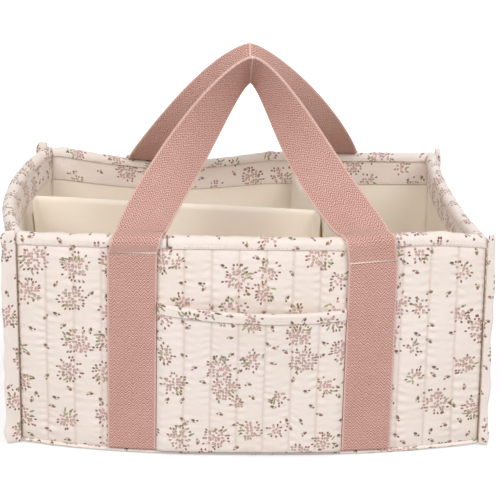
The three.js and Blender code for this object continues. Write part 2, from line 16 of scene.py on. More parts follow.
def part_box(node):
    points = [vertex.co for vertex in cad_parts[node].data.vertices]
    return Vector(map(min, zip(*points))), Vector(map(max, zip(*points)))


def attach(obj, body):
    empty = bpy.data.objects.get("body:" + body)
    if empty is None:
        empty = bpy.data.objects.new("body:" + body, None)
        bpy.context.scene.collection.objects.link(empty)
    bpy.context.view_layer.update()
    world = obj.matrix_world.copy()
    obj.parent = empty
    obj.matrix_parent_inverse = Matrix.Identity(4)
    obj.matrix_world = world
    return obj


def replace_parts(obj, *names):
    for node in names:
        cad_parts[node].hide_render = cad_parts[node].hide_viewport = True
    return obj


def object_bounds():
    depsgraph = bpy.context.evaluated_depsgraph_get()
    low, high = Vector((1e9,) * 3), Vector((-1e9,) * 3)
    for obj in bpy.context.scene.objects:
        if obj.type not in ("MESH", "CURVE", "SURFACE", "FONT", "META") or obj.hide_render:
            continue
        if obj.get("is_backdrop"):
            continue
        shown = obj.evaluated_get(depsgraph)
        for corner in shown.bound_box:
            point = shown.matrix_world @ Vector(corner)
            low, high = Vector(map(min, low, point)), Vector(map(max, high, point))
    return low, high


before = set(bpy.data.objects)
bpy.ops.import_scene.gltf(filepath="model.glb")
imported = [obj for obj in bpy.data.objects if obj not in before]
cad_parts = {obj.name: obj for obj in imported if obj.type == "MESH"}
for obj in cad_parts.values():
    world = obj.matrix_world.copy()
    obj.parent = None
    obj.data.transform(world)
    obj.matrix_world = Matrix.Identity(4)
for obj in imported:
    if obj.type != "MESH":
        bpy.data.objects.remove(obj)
cad_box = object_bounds()
MM = 0.001

# %% [markdown]
# ## Camera
# The photograph looks down at the front from a little to the left, with a slight roll. A camera
# could be aimed with a constraint, but the roll would be lost. Its axes are worked out from
# three angles instead, and put into one matrix.

# %% Aim the camera
CAMERA_SPOT = (-54.9 * MM, -1191.9 * MM, 552.2 * MM)
CAMERA_PITCH, CAMERA_YAW, CAMERA_ROLL = radians(19.49), radians(-2.83), radians(1.65)
CAMERA_LENS = 99.2

level = Vector((cos(CAMERA_YAW), sin(CAMERA_YAW), 0))
onward = Vector((-sin(CAMERA_YAW), cos(CAMERA_YAW), 0))
ahead = onward * cos(CAMERA_PITCH) - Vector((0, 0, 1)) * sin(CAMERA_PITCH)
upward = onward * sin(CAMERA_PITCH) + Vector((0, 0, 1)) * cos(CAMERA_PITCH)
right = level * cos(CAMERA_ROLL) + upward * sin(CAMERA_ROLL)
top = upward * cos(CAMERA_ROLL) - level * sin(CAMERA_ROLL)
camera_data = bpy.data.cameras.new("camera")
camera_data.lens = CAMERA_LENS
camera = bpy.data.objects.new("camera", camera_data)
camera_axes = Matrix((right, top, -ahead)).transposed().to_4x4()
camera.matrix_world = Matrix.Translation(CAMERA_SPOT) @ camera_axes
bpy.context.scene.collection.objects.link(camera)
bpy.context.scene.camera = camera
print("camera looks along", [round(part, 3) for part in ahead])

# %% [markdown]
# ## Node trees without clutter
# Every finish below is a tree of small nodes. They could be added one by one, but a maker
# reads formulas faster. This helper adds a node, fills its sockets and hands back its output.

# %% A bench to lay nodes on
NODES_IN_ROW, NODE_STEP_X, NODE_STEP_Y = 14, 190, -260
NUMBER_OPERATIONS = ("LENGTH", "DISTANCE", "DOT_PRODUCT")


def tone(red, green, blue):
    """A colour as it looks on a screen, from 0 to 255, as Blender's linear colour"""
    linear = [((part / 255 + 0.055) / 1.055) ** 2.4 for part in (red, green, blue)]
    return (*linear, 1)


class Bench:
    def __init__(self, tree):
        self.tree = tree
        tree.nodes.clear()

    def add(self, kind, sockets=(), **settings):
        node = self.tree.nodes.new("ShaderNode" + kind)
        row, column = divmod(len(self.tree.nodes), NODES_IN_ROW)
        node.location = (NODE_STEP_X * column, NODE_STEP_Y * row)
        for name, value in settings.items():
            setattr(node, name, value)
        for socket, value in dict(sockets).items():
            self.fill(node.inputs[socket], value)
        return node

    def fill(self, socket, value):
        if isinstance(value, bpy.types.NodeSocket):
            self.tree.links.new(value, socket)
        else:
            socket.default_value = value

    def math(self, operation, *values):
        return self.add("Math", enumerate(values), operation=operation).outputs[0]

    def arrow(self, operation, *values):
        node = self.add("VectorMath", enumerate(values), operation=operation)
        return node.outputs[1 if operation in NUMBER_OPERATIONS else 0]

    def blend(self, share, one, other):
        return self.add("Mix", {0: share, 6: one, 7: other}, data_type="RGBA").outputs[2]

    def step(self, value, low, high):
        """0 below low, 1 above high and smooth between them; low may be the larger one"""
        sockets = {"Value": value, "From Min": low, "From Max": high}
        return self.add("MapRange", sockets, interpolation_type="SMOOTHSTEP").outputs[0]

    def noise(self, spot, scale, detail, distortion=0.0, dimensions="2D"):
        """Random values round a half; scale is how many lumps there are in a metre"""
        sockets = {"Vector": spot, "Scale": scale, "Detail": detail, "Distortion": distortion}
        return self.add("TexNoise", sockets, noise_dimensions=dimensions).outputs[0]

    def wave(self, value, length):
        """A wave between -1 and 1 that repeats after a length"""
        turn = self.math("MULTIPLY", value, 2 * pi)
        return self.math("SINE", self.math("DIVIDE", turn, length))

    def parts(self, arrow):
        return self.add("SeparateXYZ", {0: arrow}).outputs

    def shares(self, colour):
        return self.add("SeparateColor", {0: colour}).outputs


def finish_group(name, inputs, outputs):
    """A new shader node group with its bench, its inputs and its outputs"""
    tree = bpy.data.node_groups.new(name, "ShaderNodeTree")
    for way, sockets in (("INPUT", inputs), ("OUTPUT", outputs)):
        for label, kind in sockets.items():
            tree.interface.new_socket(label, in_out=way, socket_type="NodeSocket" + kind)
    bench = Bench(tree)
    given = tree.nodes.new("NodeGroupInput").outputs
    result = tree.nodes.new("NodeGroupOutput").inputs
    return tree, bench, given, result


print("a warm ivory in linear colour:", [round(part, 3) for part in tone(252, 241, 226)])

# %% [markdown]
# ## The printed cotton
# A ditsy print is a small scattered floral. An image would do, but nodes stay sharp at any
# size. A fine Voronoi gives each tiny blossom its own cell. A coarse one, read at the blossom's
# centre, says which posy the blossom belongs to, so that no blossom is ever cut in half.

# %% Scattered cells, and masks to draw with
POSY_SPACING, POSY_SCATTER = 33 * MM, 0.72
POSY_LEAST, POSY_SPREAD = 4.4 * MM, 6.2 * MM
OVAL_OUTSIDE, OVAL_INSIDE = 1.25, 0.7


def scatter(bench, spot, spacing, randomness):
    """The centre of the nearest of many scattered cells, and its random shares"""
    sockets = {"Vector": spot, "Scale": 1 / spacing, "Randomness": randomness}
    cell = bench.add("TexVoronoi", sockets, voronoi_dimensions="2D")
    return cell.outputs["Position"], bench.shares(cell.outputs["Color"])


def posy_of(bench, spot):
    """The posy nearest to a spot: where it is, how far away, how wide, and its random shares"""
    posy, lots = scatter(bench, spot, POSY_SPACING, POSY_SCATTER)
    radius = bench.math("MULTIPLY_ADD", lots[0], POSY_SPREAD, POSY_LEAST)
    return posy, bench.arrow("DISTANCE", spot, posy), radius, lots


def oval(bench, x, y, wide, high):
    """1 inside an oval, 0 outside it, with a soft edge"""
    across = bench.math("POWER", bench.math("DIVIDE", x, wide), 2)
    upright = bench.math("POWER", bench.math("DIVIDE", y, high), 2)
    return bench.step(bench.math("ADD", across, upright), OVAL_OUTSIDE, OVAL_INSIDE)


def pen_line(bench, away, edge, core):
    """1 within the core of a line and 0 past its edge, by the distance from its middle"""
    return bench.step(bench.math("ABSOLUTE", away), edge, core)


def overlap(bench, *masks):
    result = masks[0]
    for mask in masks[1:]:
        result = bench.math("MULTIPLY", result, mask)
    return result


def turned(bench, arrow, angle):
    sockets = {"Vector": arrow, "Angle": angle}
    return bench.add("VectorRotate", sockets, rotation_type="Z_AXIS").outputs[0]


def away_from(bench, posy, spot):
    return bench.arrow("NORMALIZE", bench.arrow("SUBTRACT", spot, posy))


def along_and_beside(bench, local, outward):
    """How far a place lies along the way out of its posy, and how far beside that way"""
    beside = bench.parts(bench.arrow("CROSS_PRODUCT", outward, local))[2]
    return bench.arrow("DOT_PRODUCT", local, outward), beside


print("posies are", POSY_SPACING / MM, "mm apart")

# %% [markdown]
# A blossom is five petals drawn with a thin line round a dark heart, on a short stem. Buds stand
# alone in a ragged fringe round the posy and lie along the line that leads away from it.

# %% Blossoms and buds
BLOSSOM_SPACING, BLOSSOM_SCATTER, BLOSSOM_SHARE = 2.7 * MM, 0.7, 0.88
BLOSSOM_LEAST, BLOSSOM_SPREAD = 0.85 * MM, 0.25 * MM
PETALS, PETAL_DEPTH, PETAL_MIDDLE, PETAL_EDGE = 5, 0.24, 0.86, 0.1 * MM
PETAL_LINE, HEART, STEM = (0.36 * MM, 0.14 * MM), (0.36 * MM, 0.18 * MM), (0.26 * MM, 0.1 * MM)
POSY_RAGGED, FRINGE_WIDTH = 3 * MM, 3.4 * MM
BUD_SHARE, BUD_SIZE = 0.4, (1.2 * MM, 0.85 * MM)


def draw_blossoms(bench, cloth):
    centre, lot = scatter(bench, cloth, BLOSSOM_SPACING, BLOSSOM_SCATTER)
    posy, away, radius, _ = posy_of(bench, centre)
    ragged = bench.math("MULTIPLY_ADD", lot[0], POSY_RAGGED, -POSY_RAGGED / 2)
    inside = bench.math("LESS_THAN", bench.math("ADD", away, ragged), radius)
    fringe = bench.math("LESS_THAN", away, bench.math("ADD", radius, FRINGE_WIDTH))
    fringe = bench.math("SUBTRACT", fringe, bench.math("MULTIPLY", inside, fringe))
    blossom = overlap(bench, inside, bench.math("LESS_THAN", lot[1], BLOSSOM_SHARE))
    bud = overlap(bench, fringe, bench.math("LESS_THAN", lot[1], BUD_SHARE))

    local = bench.arrow("SUBTRACT", cloth, centre)
    x, y, _ = bench.parts(local)
    reach = bench.arrow("LENGTH", local)
    turn = bench.math("MULTIPLY_ADD", lot[2], 2 * pi, bench.math("ARCTAN2", y, x))
    petals = bench.math("COSINE", bench.math("MULTIPLY", turn, PETALS))
    size = bench.math("MULTIPLY_ADD", lot[0], BLOSSOM_SPREAD, BLOSSOM_LEAST)
    petal_rim = bench.math("MULTIPLY", size, bench.math("MULTIPLY_ADD", petals, PETAL_DEPTH, PETAL_MIDDLE))
    past_rim = bench.math("SUBTRACT", reach, petal_rim)
    along, beside = along_and_beside(bench, local, away_from(bench, posy, centre))
    behind = bench.math("LESS_THAN", along, 0)
    either = bench.math("MAXIMUM", bud, blossom)
    masks = {
        "petals": overlap(bench, blossom, bench.step(past_rim, PETAL_EDGE, -PETAL_EDGE)),
        "outline": overlap(bench, blossom, pen_line(bench, past_rim, *PETAL_LINE)),
        "heart": overlap(bench, blossom, bench.step(reach, *HEART)),
        "stem": overlap(bench, either, pen_line(bench, beside, *STEM), behind),
        "bud": overlap(bench, bud, oval(bench, along, beside, *BUD_SIZE)),
    }
    return masks, lot


print("a blossom is about", 2 * BLOSSOM_LEAST / MM, "mm wide")

# %% [markdown]
# Leaves have cells of their own and grow at one side of the posy. Single sprigs, each of two
# buds and a leaf on a stalk, fill the ground between the posies.

# %% Leaves and sprigs
LEAF_SPACING, LEAF_SCATTER, LEAF_SHARE = 4.6 * MM, 0.6, 0.85
LEAF_SIDE, LEAF_INNER_SHARE, LEAF_OUTER = 0.66, 0.7, 3.2 * MM
LEAF_LEAN, LEAF_SIZE, LEAF_RIB = 1.5, (2.5 * MM, 0.85 * MM), (0.32 * MM, 0.1 * MM)
SPRIG_SPACING, SPRIG_SCATTER, SPRIG_SHARE, SPRIG_ROOM = 15 * MM, 0.85, 0.8, 4.6 * MM
LARGE_BUD, SMALL_BUD, SPRIG_LEAF = (1.7 * MM, 1.1 * MM), (1 * MM, 0.8 * MM), (2 * MM, 0.6 * MM)
SMALL_BUD_AWAY, SMALL_BUD_LIFT = 3.3 * MM, 2.4 * MM
SPRIG_LEAF_AWAY, SPRIG_LEAF_DROP = 1.2 * MM, 1.5 * MM
STALK, STALK_ENDS, STALK_SLOPE = (0.2 * MM, 0.08 * MM), (2.6 * MM, 2.2 * MM), 0.3


def draw_leaves(bench, cloth):
    centre, lot = scatter(bench, cloth, LEAF_SPACING, LEAF_SCATTER)
    posy, away, radius, posy_lot = posy_of(bench, centre)
    outward = away_from(bench, posy, centre)
    heading = bench.math("MULTIPLY", posy_lot[1], 2 * pi)
    headings = {0: bench.math("COSINE", heading), 1: bench.math("SINE", heading)}
    leafy_way = bench.add("CombineXYZ", headings).outputs[0]
    grows = overlap(
        bench,
        bench.math("GREATER_THAN", bench.arrow("DOT_PRODUCT", outward, leafy_way), LEAF_SIDE),
        bench.math("GREATER_THAN", away, bench.math("MULTIPLY", radius, LEAF_INNER_SHARE)),
        bench.math("LESS_THAN", away, bench.math("ADD", radius, LEAF_OUTER)),
        bench.math("LESS_THAN", lot[2], LEAF_SHARE),
    )
    lean = bench.math("MULTIPLY_ADD", lot[0], LEAF_LEAN, -LEAF_LEAN / 2)
    local = turned(bench, bench.arrow("SUBTRACT", cloth, centre), lean)
    along, beside = along_and_beside(bench, local, outward)
    leaf = overlap(bench, grows, oval(bench, along, beside, *LEAF_SIZE))
    return leaf, pen_line(bench, beside, *LEAF_RIB), lot


def draw_sprigs(bench, cloth):
    centre, lot = scatter(bench, cloth, SPRIG_SPACING, SPRIG_SCATTER)
    _, away, radius, _ = posy_of(bench, centre)
    alone = bench.math("GREATER_THAN", away, bench.math("ADD", radius, SPRIG_ROOM))
    shown = overlap(bench, alone, bench.math("LESS_THAN", lot[0], SPRIG_SHARE))
    whole_turn = bench.math("MULTIPLY", lot[1], 2 * pi)
    x, y, _ = bench.parts(turned(bench, bench.arrow("SUBTRACT", cloth, centre), whole_turn))
    lift = bench.math("MULTIPLY_ADD", lot[2], SMALL_BUD_LIFT, -SMALL_BUD_LIFT / 2)
    small_x, small_y = bench.math("SUBTRACT", x, SMALL_BUD_AWAY), bench.math("SUBTRACT", y, lift)
    leaf_x, leaf_y = bench.math("SUBTRACT", x, SPRIG_LEAF_AWAY), bench.math("ADD", y, SPRIG_LEAF_DROP)
    stalk_y = bench.math("SUBTRACT", y, bench.math("MULTIPLY", x, STALK_SLOPE))
    large_bud = oval(bench, x, y, *LARGE_BUD)
    small_bud = oval(bench, small_x, small_y, *SMALL_BUD)
    masks = {
        "stalk": overlap(bench, shown, pen_line(bench, stalk_y, *STALK), pen_line(bench, x, *STALK_ENDS)),
        "leaf": overlap(bench, shown, oval(bench, leaf_x, leaf_y, *SPRIG_LEAF)),
        "buds": overlap(bench, shown, bench.math("MAXIMUM", large_bud, small_bud)),
    }
    return masks, lot


print("sprigs are", SPRIG_SPACING / MM, "mm apart")

# %% [markdown]
# The inks are laid over the cotton's own colour one after the other, from the palest to the
# darkest, as on a printing table. None of them covers quite fully, so the cloth shows through.

# %% Node group: ditsy print
PETAL_INK, HEART_INK, STEM_INK = tone(248, 208, 198), tone(146, 84, 76), tone(134, 96, 84)
OUTLINE_INKS = tone(116, 74, 66), tone(204, 134, 124)
BUD_INKS = tone(100, 64, 57), tone(160, 98, 90)
SPRIG_INKS = tone(102, 68, 59), tone(166, 104, 94)
LEAF_INKS, RIB_INK, RIB_COVER = (tone(128, 148, 92), tone(172, 190, 128)), tone(96, 130, 72), 0.55
STALK_INK, SPRIG_LEAF_INK = tone(150, 138, 104), tone(148, 160, 112)


def build_print():
    sockets = {"Cloth": "Vector", "Ground": "Color"}
    tree, bench, given, result = finish_group("ditsy print", sockets, {"Color": "Color"})
    blossom, lot = draw_blossoms(bench, given["Cloth"])
    leaf, rib, leaf_lot = draw_leaves(bench, given["Cloth"])
    sprig, sprig_lot = draw_sprigs(bench, given["Cloth"])
    green = bench.blend(leaf_lot[1], *LEAF_INKS)
    green = bench.blend(bench.math("MULTIPLY", rib, RIB_COVER), green, RIB_INK)
    # A layer is where the ink goes, how well it covers and its colour
    layers = [
        (blossom["petals"], 0.55, PETAL_INK),
        (leaf, 0.9, green),
        (blossom["outline"], 0.92, bench.blend(lot[1], *OUTLINE_INKS)),
        (blossom["heart"], 0.8, HEART_INK),
        (blossom["stem"], 0.75, STEM_INK),
        (blossom["bud"], 0.95, bench.blend(lot[2], *BUD_INKS)),
        (sprig["stalk"], 0.55, STALK_INK),
        (sprig["leaf"], 0.7, SPRIG_LEAF_INK),
        (sprig["buds"], 0.95, bench.blend(sprig_lot[1], *SPRIG_INKS)),
    ]
    colour = given["Ground"]
    for mask, cover, ink in layers:
        colour = bench.blend(bench.math("MULTIPLY", mask, cover), colour, ink)
    bench.fill(result["Color"], colour)
    return tree


ditsy_print = build_print()
print("ditsy print:", len(ditsy_print.nodes), "nodes")

# %% [markdown]
# ## Weave and needle lines
# Cotton is a plain weave: threads go over and under in turn. Webbing is a herringbone twill,
# whose slanting ribs change direction in bands. Both could be meshes, but at this scale a height
# for a Bump node is enough. Quilting leaves a row of pinched stitches at each seam.

# %% Node groups: plain weave, herringbone twill and needle line
SLUB_SCALE, WEAVE_SHARE = 240.0, 0.35
TWILL_WANDER, TWILL_SLOPE, GRAIN_SHARE = 1.7 * MM, 0.8, 0.8
TWILL_VALLEY, TWILL_TIP = -0.75, 0.85
THREAD_WIDTH, GROOVE_WIDTH, DASH = (0.55 * MM, 0.25 * MM), (2.2 * MM, 0.2 * MM), (0.1, 0.2)


def build_weave():
    sockets = {"Cloth": "Vector", "Thread": "Float"}
    outputs = {"Height": "Float", "Slub": "Float"}
    tree, bench, given, result = finish_group("plain weave", sockets, outputs)
    x, y, _ = bench.parts(given["Cloth"])
    two_threads = bench.math("MULTIPLY", given["Thread"], 2)
    over = bench.math("MULTIPLY", bench.wave(x, two_threads), bench.wave(y, two_threads))
    slub = bench.noise(given["Cloth"], SLUB_SCALE, detail=3.0)
    bench.fill(result["Height"], bench.math("MULTIPLY_ADD", over, WEAVE_SHARE, slub))
    bench.fill(result["Slub"], slub)
    return tree


def build_twill():
    """Ribs climb one way in a band and back in the next, and a finer grain crosses them"""
    sockets = {"Cloth": "Vector", "Rib": "Float", "Band": "Float"}
    outputs = {"Height": "Float", "Tip": "Float"}
    tree, bench, given, result = finish_group("herringbone twill", sockets, outputs)
    x, y, _ = bench.parts(given["Cloth"])
    zigzag = bench.math("PINGPONG", x, given["Band"])
    slant = bench.math("MULTIPLY_ADD", y, TWILL_SLOPE, zigzag)
    wander = bench.noise(given["Cloth"], SLUB_SCALE, detail=2.0)
    slant = bench.math("MULTIPLY_ADD", wander, TWILL_WANDER, slant)
    cross = bench.math("SUBTRACT", bench.math("MULTIPLY", zigzag, TWILL_SLOPE), y)
    grain = bench.wave(cross, bench.math("MULTIPLY", given["Rib"], GRAIN_SHARE))
    height = bench.math("ADD", grain, bench.wave(slant, given["Rib"]))
    height = bench.math("MULTIPLY", height, 0.5)
    bench.fill(result["Height"], height)
    bench.fill(result["Tip"], bench.step(height, TWILL_VALLEY, TWILL_TIP))
    return tree


def build_needle_line():
    """Quilt counts channels along x, so a seam lies at every whole number"""
    sockets = {"Quilt": "Vector", "Channel": "Float", "Stitch": "Float"}
    outputs = {"Thread": "Float", "Groove": "Float"}
    tree, bench, given, result = finish_group("needle line", sockets, outputs)
    x, y, _ = bench.parts(given["Quilt"])
    aside = bench.math("MULTIPLY", bench.math("PINGPONG", x, 0.5), given["Channel"])
    half_stitch = bench.math("MULTIPLY", given["Stitch"], 0.5)
    dash = bench.math("DIVIDE", bench.math("PINGPONG", y, half_stitch), given["Stitch"])
    thread = bench.math("MULTIPLY", bench.step(aside, *THREAD_WIDTH), bench.step(dash, *DASH))
    bench.fill(result["Thread"], thread)
    bench.fill(result["Groove"], bench.step(aside, *GROOVE_WIDTH))
    return tree


plain_weave, herringbone, needle_line = build_weave(), build_twill(), build_needle_line()
print("groups:", [group.name for group in bpy.data.node_groups])

# %% [markdown]
# ## Finishes
# Cloth scatters light softly and shows hardly any gloss, so each finish is rough with a touch
# of sheen. The colours are those of the real thing under plain light, apart from the painted
# shade and painted highlights named where they are drawn. The groups above give what changes
# over the surface, and every constant sits on the shader itself.

# %% Helpers for the finishes
def cloth_material(name, rough, sheen):
    material = bpy.data.materials.new(name)
    material.use_nodes = True
    bench = Bench(material.node_tree)
    sockets = {"Roughness": rough, "Sheen Weight": sheen, "Sheen Roughness": 0.5, "Specular IOR Level": 0.2}
    shader = bench.add("BsdfPrincipled", sockets)
    bench.fill(bench.add("OutputMaterial").inputs[0], shader.outputs[0])
    return material, bench, shader


def uv(bench, name):
    return bench.add("UVMap", uv_map=name).outputs[0]


def own_spot(bench):
    return bench.add("TexCoord").outputs["Object"]


def group(bench, tree, sockets):
    node = bench.add("Group", node_tree=tree)
    for label, value in sockets.items():
        bench.fill(node.inputs[label], value)
    return node.outputs


def tinted(bench, mask, cover, colour, tint):
    """A colour with a tint over it where the mask is 1"""
    return bench.blend(bench.math("MULTIPLY", mask, cover), colour, tint)


def soft_bump(bench, shader, height, distance, strength):
    bump = bench.add("Bump", {"Height": height, "Distance": distance, "Strength": strength})
    bench.fill(shader.inputs["Normal"], bump.outputs[0])


# %% [markdown]
# The print and the lining are the same soft cotton. Its shade drifts a little every few
# centimetres, and its threads show as faint slubs. One flat colour would look like paper. On
# the quilted print the creases are stretched across the seams, the needle's lines are drawn in,
# and painted shade darkens each seam's groove and the needle holes along it.

# %% Printed and plain cotton
COTTON_SHADES, COTTON_SLUB = (tone(244, 232, 223), tone(246, 235, 229)), tone(214, 192, 178)
# Painted shade for the quilting: along each seam's groove, and in the needle holes at its stitches
SEAM_PAINTED_SHADE, NEEDLE_HOLE_SHADE = tone(206, 176, 160), tone(178, 150, 134)
IVORY_SHADES, IVORY_SLUB = (tone(252, 241, 226), tone(254, 246, 233)), tone(232, 214, 188)
SLUB_COVER, SEAM_SHADE_COVER, NEEDLE_SHADE_COVER, NEEDLE_DEPTH = 0.1, 0.2, 0.15, 0.2
WEAVE_IN_PRINT, WEAVE_IN_IVORY, QUILT_SQUEEZE = 0.1, 0.06, (0.4, 1.0, 1.0)


def print_material(name, quilted):
    material, bench, shader = cloth_material(name, rough=0.9, sheen=0.12)
    cloth = uv(bench, "cloth")
    weave = group(bench, plain_weave, {"Cloth": cloth, "Thread": 0.42 * MM})
    drift = bench.step(bench.noise(cloth, scale=14.0, detail=2.0), 0.35, 0.65)
    ground = bench.blend(drift, *COTTON_SHADES)
    motif = group(bench, ditsy_print, {"Cloth": cloth, "Ground": ground})
    colour = tinted(bench, weave["Slub"], SLUB_COVER, motif["Color"], COTTON_SLUB)
    creased = bench.arrow("MULTIPLY", cloth, QUILT_SQUEEZE) if quilted else cloth
    crease = bench.noise(creased, scale=110.0, detail=3.0, distortion=0.6)
    height = bench.math("MULTIPLY_ADD", weave["Height"], WEAVE_IN_PRINT, crease)
    if quilted:
        sockets = {"Quilt": uv(bench, "quilt"), "Channel": 22 * MM, "Stitch": 2.2 * MM}
        seam = group(bench, needle_line, sockets)
        # Painted shade along each seam's groove, and darker dashes at the stitches as painted shade of the
        # needle holes
        colour = tinted(bench, seam["Groove"], SEAM_SHADE_COVER, colour, SEAM_PAINTED_SHADE)
        colour = tinted(bench, seam["Thread"], NEEDLE_SHADE_COVER, colour, NEEDLE_HOLE_SHADE)
        height = bench.math("MULTIPLY_ADD", seam["Thread"], -NEEDLE_DEPTH, height)
    bench.fill(shader.inputs["Base Color"], colour)
    soft_bump(bench, shader, height, distance=0.9 * MM, strength=0.6)
    return material


def ivory_material():
    material, bench, shader = cloth_material("ivory cotton", rough=0.88, sheen=0.1)
    cloth = uv(bench, "cloth")
    weave = group(bench, plain_weave, {"Cloth": cloth, "Thread": 0.5 * MM})
    drift = bench.step(bench.noise(cloth, scale=9.0, detail=2.0), 0.3, 0.7)
    shade = bench.blend(drift, *IVORY_SHADES)
    bench.fill(shader.inputs["Base Color"], tinted(bench, weave["Slub"], SLUB_COVER, shade, IVORY_SLUB))
    crease = bench.noise(cloth, scale=26.0, detail=4.0, distortion=0.8)
    height = bench.math("MULTIPLY_ADD", weave["Height"], WEAVE_IN_IVORY, crease)
    soft_bump(bench, shader, height, distance=1.2 * MM, strength=0.35)
    return material


FINISHES = {
    "quilted print": (print_material("quilted print", True), "print_cloth"),
    "flat print": (print_material("flat print", False), "print_cloth"),
    "ivory": (ivory_material(), "ivory_cloth"),
}
print("cotton finishes:", list(FINISHES))

# %% [markdown]
# Webbing gets painted shade in the valleys between its ribs and a painted highlight on their
# tips. Its selvedges are paler still, and a painted highlight runs along the fold at the top of a
# loop. Thread, hook tape and board have small even patterns, so they read the object's own
# coordinates instead of a UV map, and the hook tape gets painted shade between its hooks.

# %% Webbing, thread, hook tape and board
WEBBING_HALF, TWILL_RIB, TWILL_BAND = 20 * MM, 2.2 * MM, 3 * MM
# Painted shade for the valleys between the ribs, and a painted highlight for their tips
VALLEY_PAINTED_SHADE = tone(160, 106, 93), tone(178, 124, 112)
TIP_PAINTED_HIGHLIGHT = tone(238, 194, 182), tone(244, 206, 196)
SELVEDGE, SELVEDGE_TINT = (18.2 * MM, 19.2 * MM), tone(236, 200, 190)
# A painted highlight along the fold at the top of a loop; its cover also serves the paler selvedges
FOLD_HIGHLIGHT_LINE, FOLD_HIGHLIGHT_TINT, PALE_TINT_COVER = (1.1 * MM, 0.3 * MM), tone(246, 222, 214), 0.7
THREAD_SHADE = 0.82
# The hook tape's colour, and a darker tone as painted shade in the gaps between the hooks
HOOK_TONE_AND_GAP_SHADE = tone(222, 196, 146), tone(178, 146, 96)
BOARD_SHADES = tone(196, 188, 174), tone(216, 210, 198)


def webbing_material():
    material, bench, shader = cloth_material("rose webbing", rough=0.82, sheen=0.15)
    cloth = uv(bench, "cloth")
    twill = group(bench, herringbone, {"Cloth": cloth, "Rib": TWILL_RIB, "Band": TWILL_BAND})
    drift = bench.noise(cloth, scale=30.0, detail=3.0)
    # Painted shade in the rib valleys and a painted highlight on the rib tips, each drifting between two
    # tones
    valley_shade, tip = bench.blend(drift, *VALLEY_PAINTED_SHADE), bench.blend(drift, *TIP_PAINTED_HIGHLIGHT)
    colour = bench.blend(twill["Tip"], valley_shade, tip)
    off_middle = bench.math("SUBTRACT", bench.parts(cloth)[0], WEBBING_HALF)
    selvedge = bench.step(bench.math("ABSOLUTE", off_middle), *SELVEDGE)
    colour = tinted(bench, selvedge, PALE_TINT_COVER, colour, SELVEDGE_TINT)
    # A painted highlight runs along the fold at the top of a loop, where x is 0
    fold = pen_line(bench, bench.parts(own_spot(bench))[0], *FOLD_HIGHLIGHT_LINE)
    colour = tinted(bench, fold, PALE_TINT_COVER, colour, FOLD_HIGHLIGHT_TINT)
    bench.fill(shader.inputs["Base Color"], colour)
    soft_bump(bench, shader, twill["Height"], distance=0.35 * MM, strength=0.6)
    return material


def thread_material(name, colour):
    material, bench, shader = cloth_material(name, rough=0.75, sheen=0.2)
    twist = bench.noise(own_spot(bench), scale=900.0, detail=2.0, dimensions="3D")
    darker = tuple(part * THREAD_SHADE for part in colour[:3]) + (1,)
    bench.fill(shader.inputs["Base Color"], bench.blend(twist, darker, colour))
    soft_bump(bench, shader, twist, distance=0.1 * MM, strength=0.5)
    return material


def hook_material():
    material, bench, shader = cloth_material("hook tape", rough=0.7, sheen=0.1)
    sockets = {"Vector": own_spot(bench), "Scale": 900.0, "Randomness": 0.3}
    hooks = bench.add("TexVoronoi", sockets)
    # Painted shade in the gaps between the hooks, where the bump is low
    shade = bench.step(hooks.outputs["Distance"], 0.1, 0.6)
    bench.fill(shader.inputs["Base Color"], bench.blend(shade, *HOOK_TONE_AND_GAP_SHADE))
    soft_bump(bench, shader, bench.math("SUBTRACT", 1, shade), distance=0.4 * MM, strength=0.8)
    return material


def board_material():
    material, bench, shader = cloth_material("stiff board", rough=0.65, sheen=0.0)
    fibre = bench.noise(own_spot(bench), scale=260.0, detail=5.0, dimensions="3D")
    bench.fill(shader.inputs["Base Color"], bench.blend(fibre, *BOARD_SHADES))
    bench.fill(shader.inputs["Roughness"], bench.math("MULTIPLY_ADD", fibre, 0.2, 0.55))
    soft_bump(bench, shader, fibre, distance=0.15 * MM, strength=0.4)
    return material


THREADS = {
    "pale thread": (tone(252, 240, 232), "rose_webbing"),
    # Dark brown for the lap stitches: painted shade along the lapped edge of the rim band
    "brown shade-line thread": (tone(122, 92, 72), "ivory_cloth"),
    "tan thread": (tone(226, 200, 172), "ivory_cloth"),
    "ivory thread": (tone(226, 212, 194), "ivory_cloth"),
}
FINISHES["webbing"] = (webbing_material(), "rose_webbing")
for name, (colour, slot_name) in THREADS.items():
    FINISHES[name] = (thread_material(name, colour), slot_name)
FINISHES["hooks"] = (hook_material(), "hook_tape")
board_finish = board_material()
print("all finishes:", list(FINISHES))

# %% [markdown]
# ## How the box has settled
# The caddy was sewn as a straight box, and its soft walls have since bowed, bellied and sunk.
# A cage or a lattice could bend it, but then each layer would drift. One formula that moves any
# point of the straight box keeps all the layers together, as it does in the CAD model.

# %% Sizes, and the settling of a point
HALF_WIDTH, HALF_DEPTH, HEIGHT = 190 * MM, 130 * MM, 188 * MM
LEFT_BOW, RIGHT_DIP, FOOT_BELLY, RIM_BELLY, BACK_DIP = 22 * MM, 6 * MM, 22 * MM, 6 * MM, 4 * MM
BELLY_POWER, BOW_POWER, GRIP_FROM, GRIP_TO = 2.6, 2.4, 0.5, 0.9
FRONT_RISE, FRONT_RISE_PLACE, FRONT_RISE_REACH = 5 * MM, 142 * MM, 62 * MM
BACK_SAG, BACK_SAG_PLACE, BACK_SAG_REACH = 11 * MM, -74 * MM, 100 * MM
BACK_RISE, CORNER_LIFT, CORNER_FROM = 2 * MM, 1 * MM, 0.6
LEFT_FLARE, RIGHT_FLARE, RIM_FLARE = 3 * MM, 10 * MM, 2.5 * MM


def ramp(value, low, high):
    return np.clip((value - low) / (high - low), 0, 1)


def mix(low, high, share):
    return low + (high - low) * share


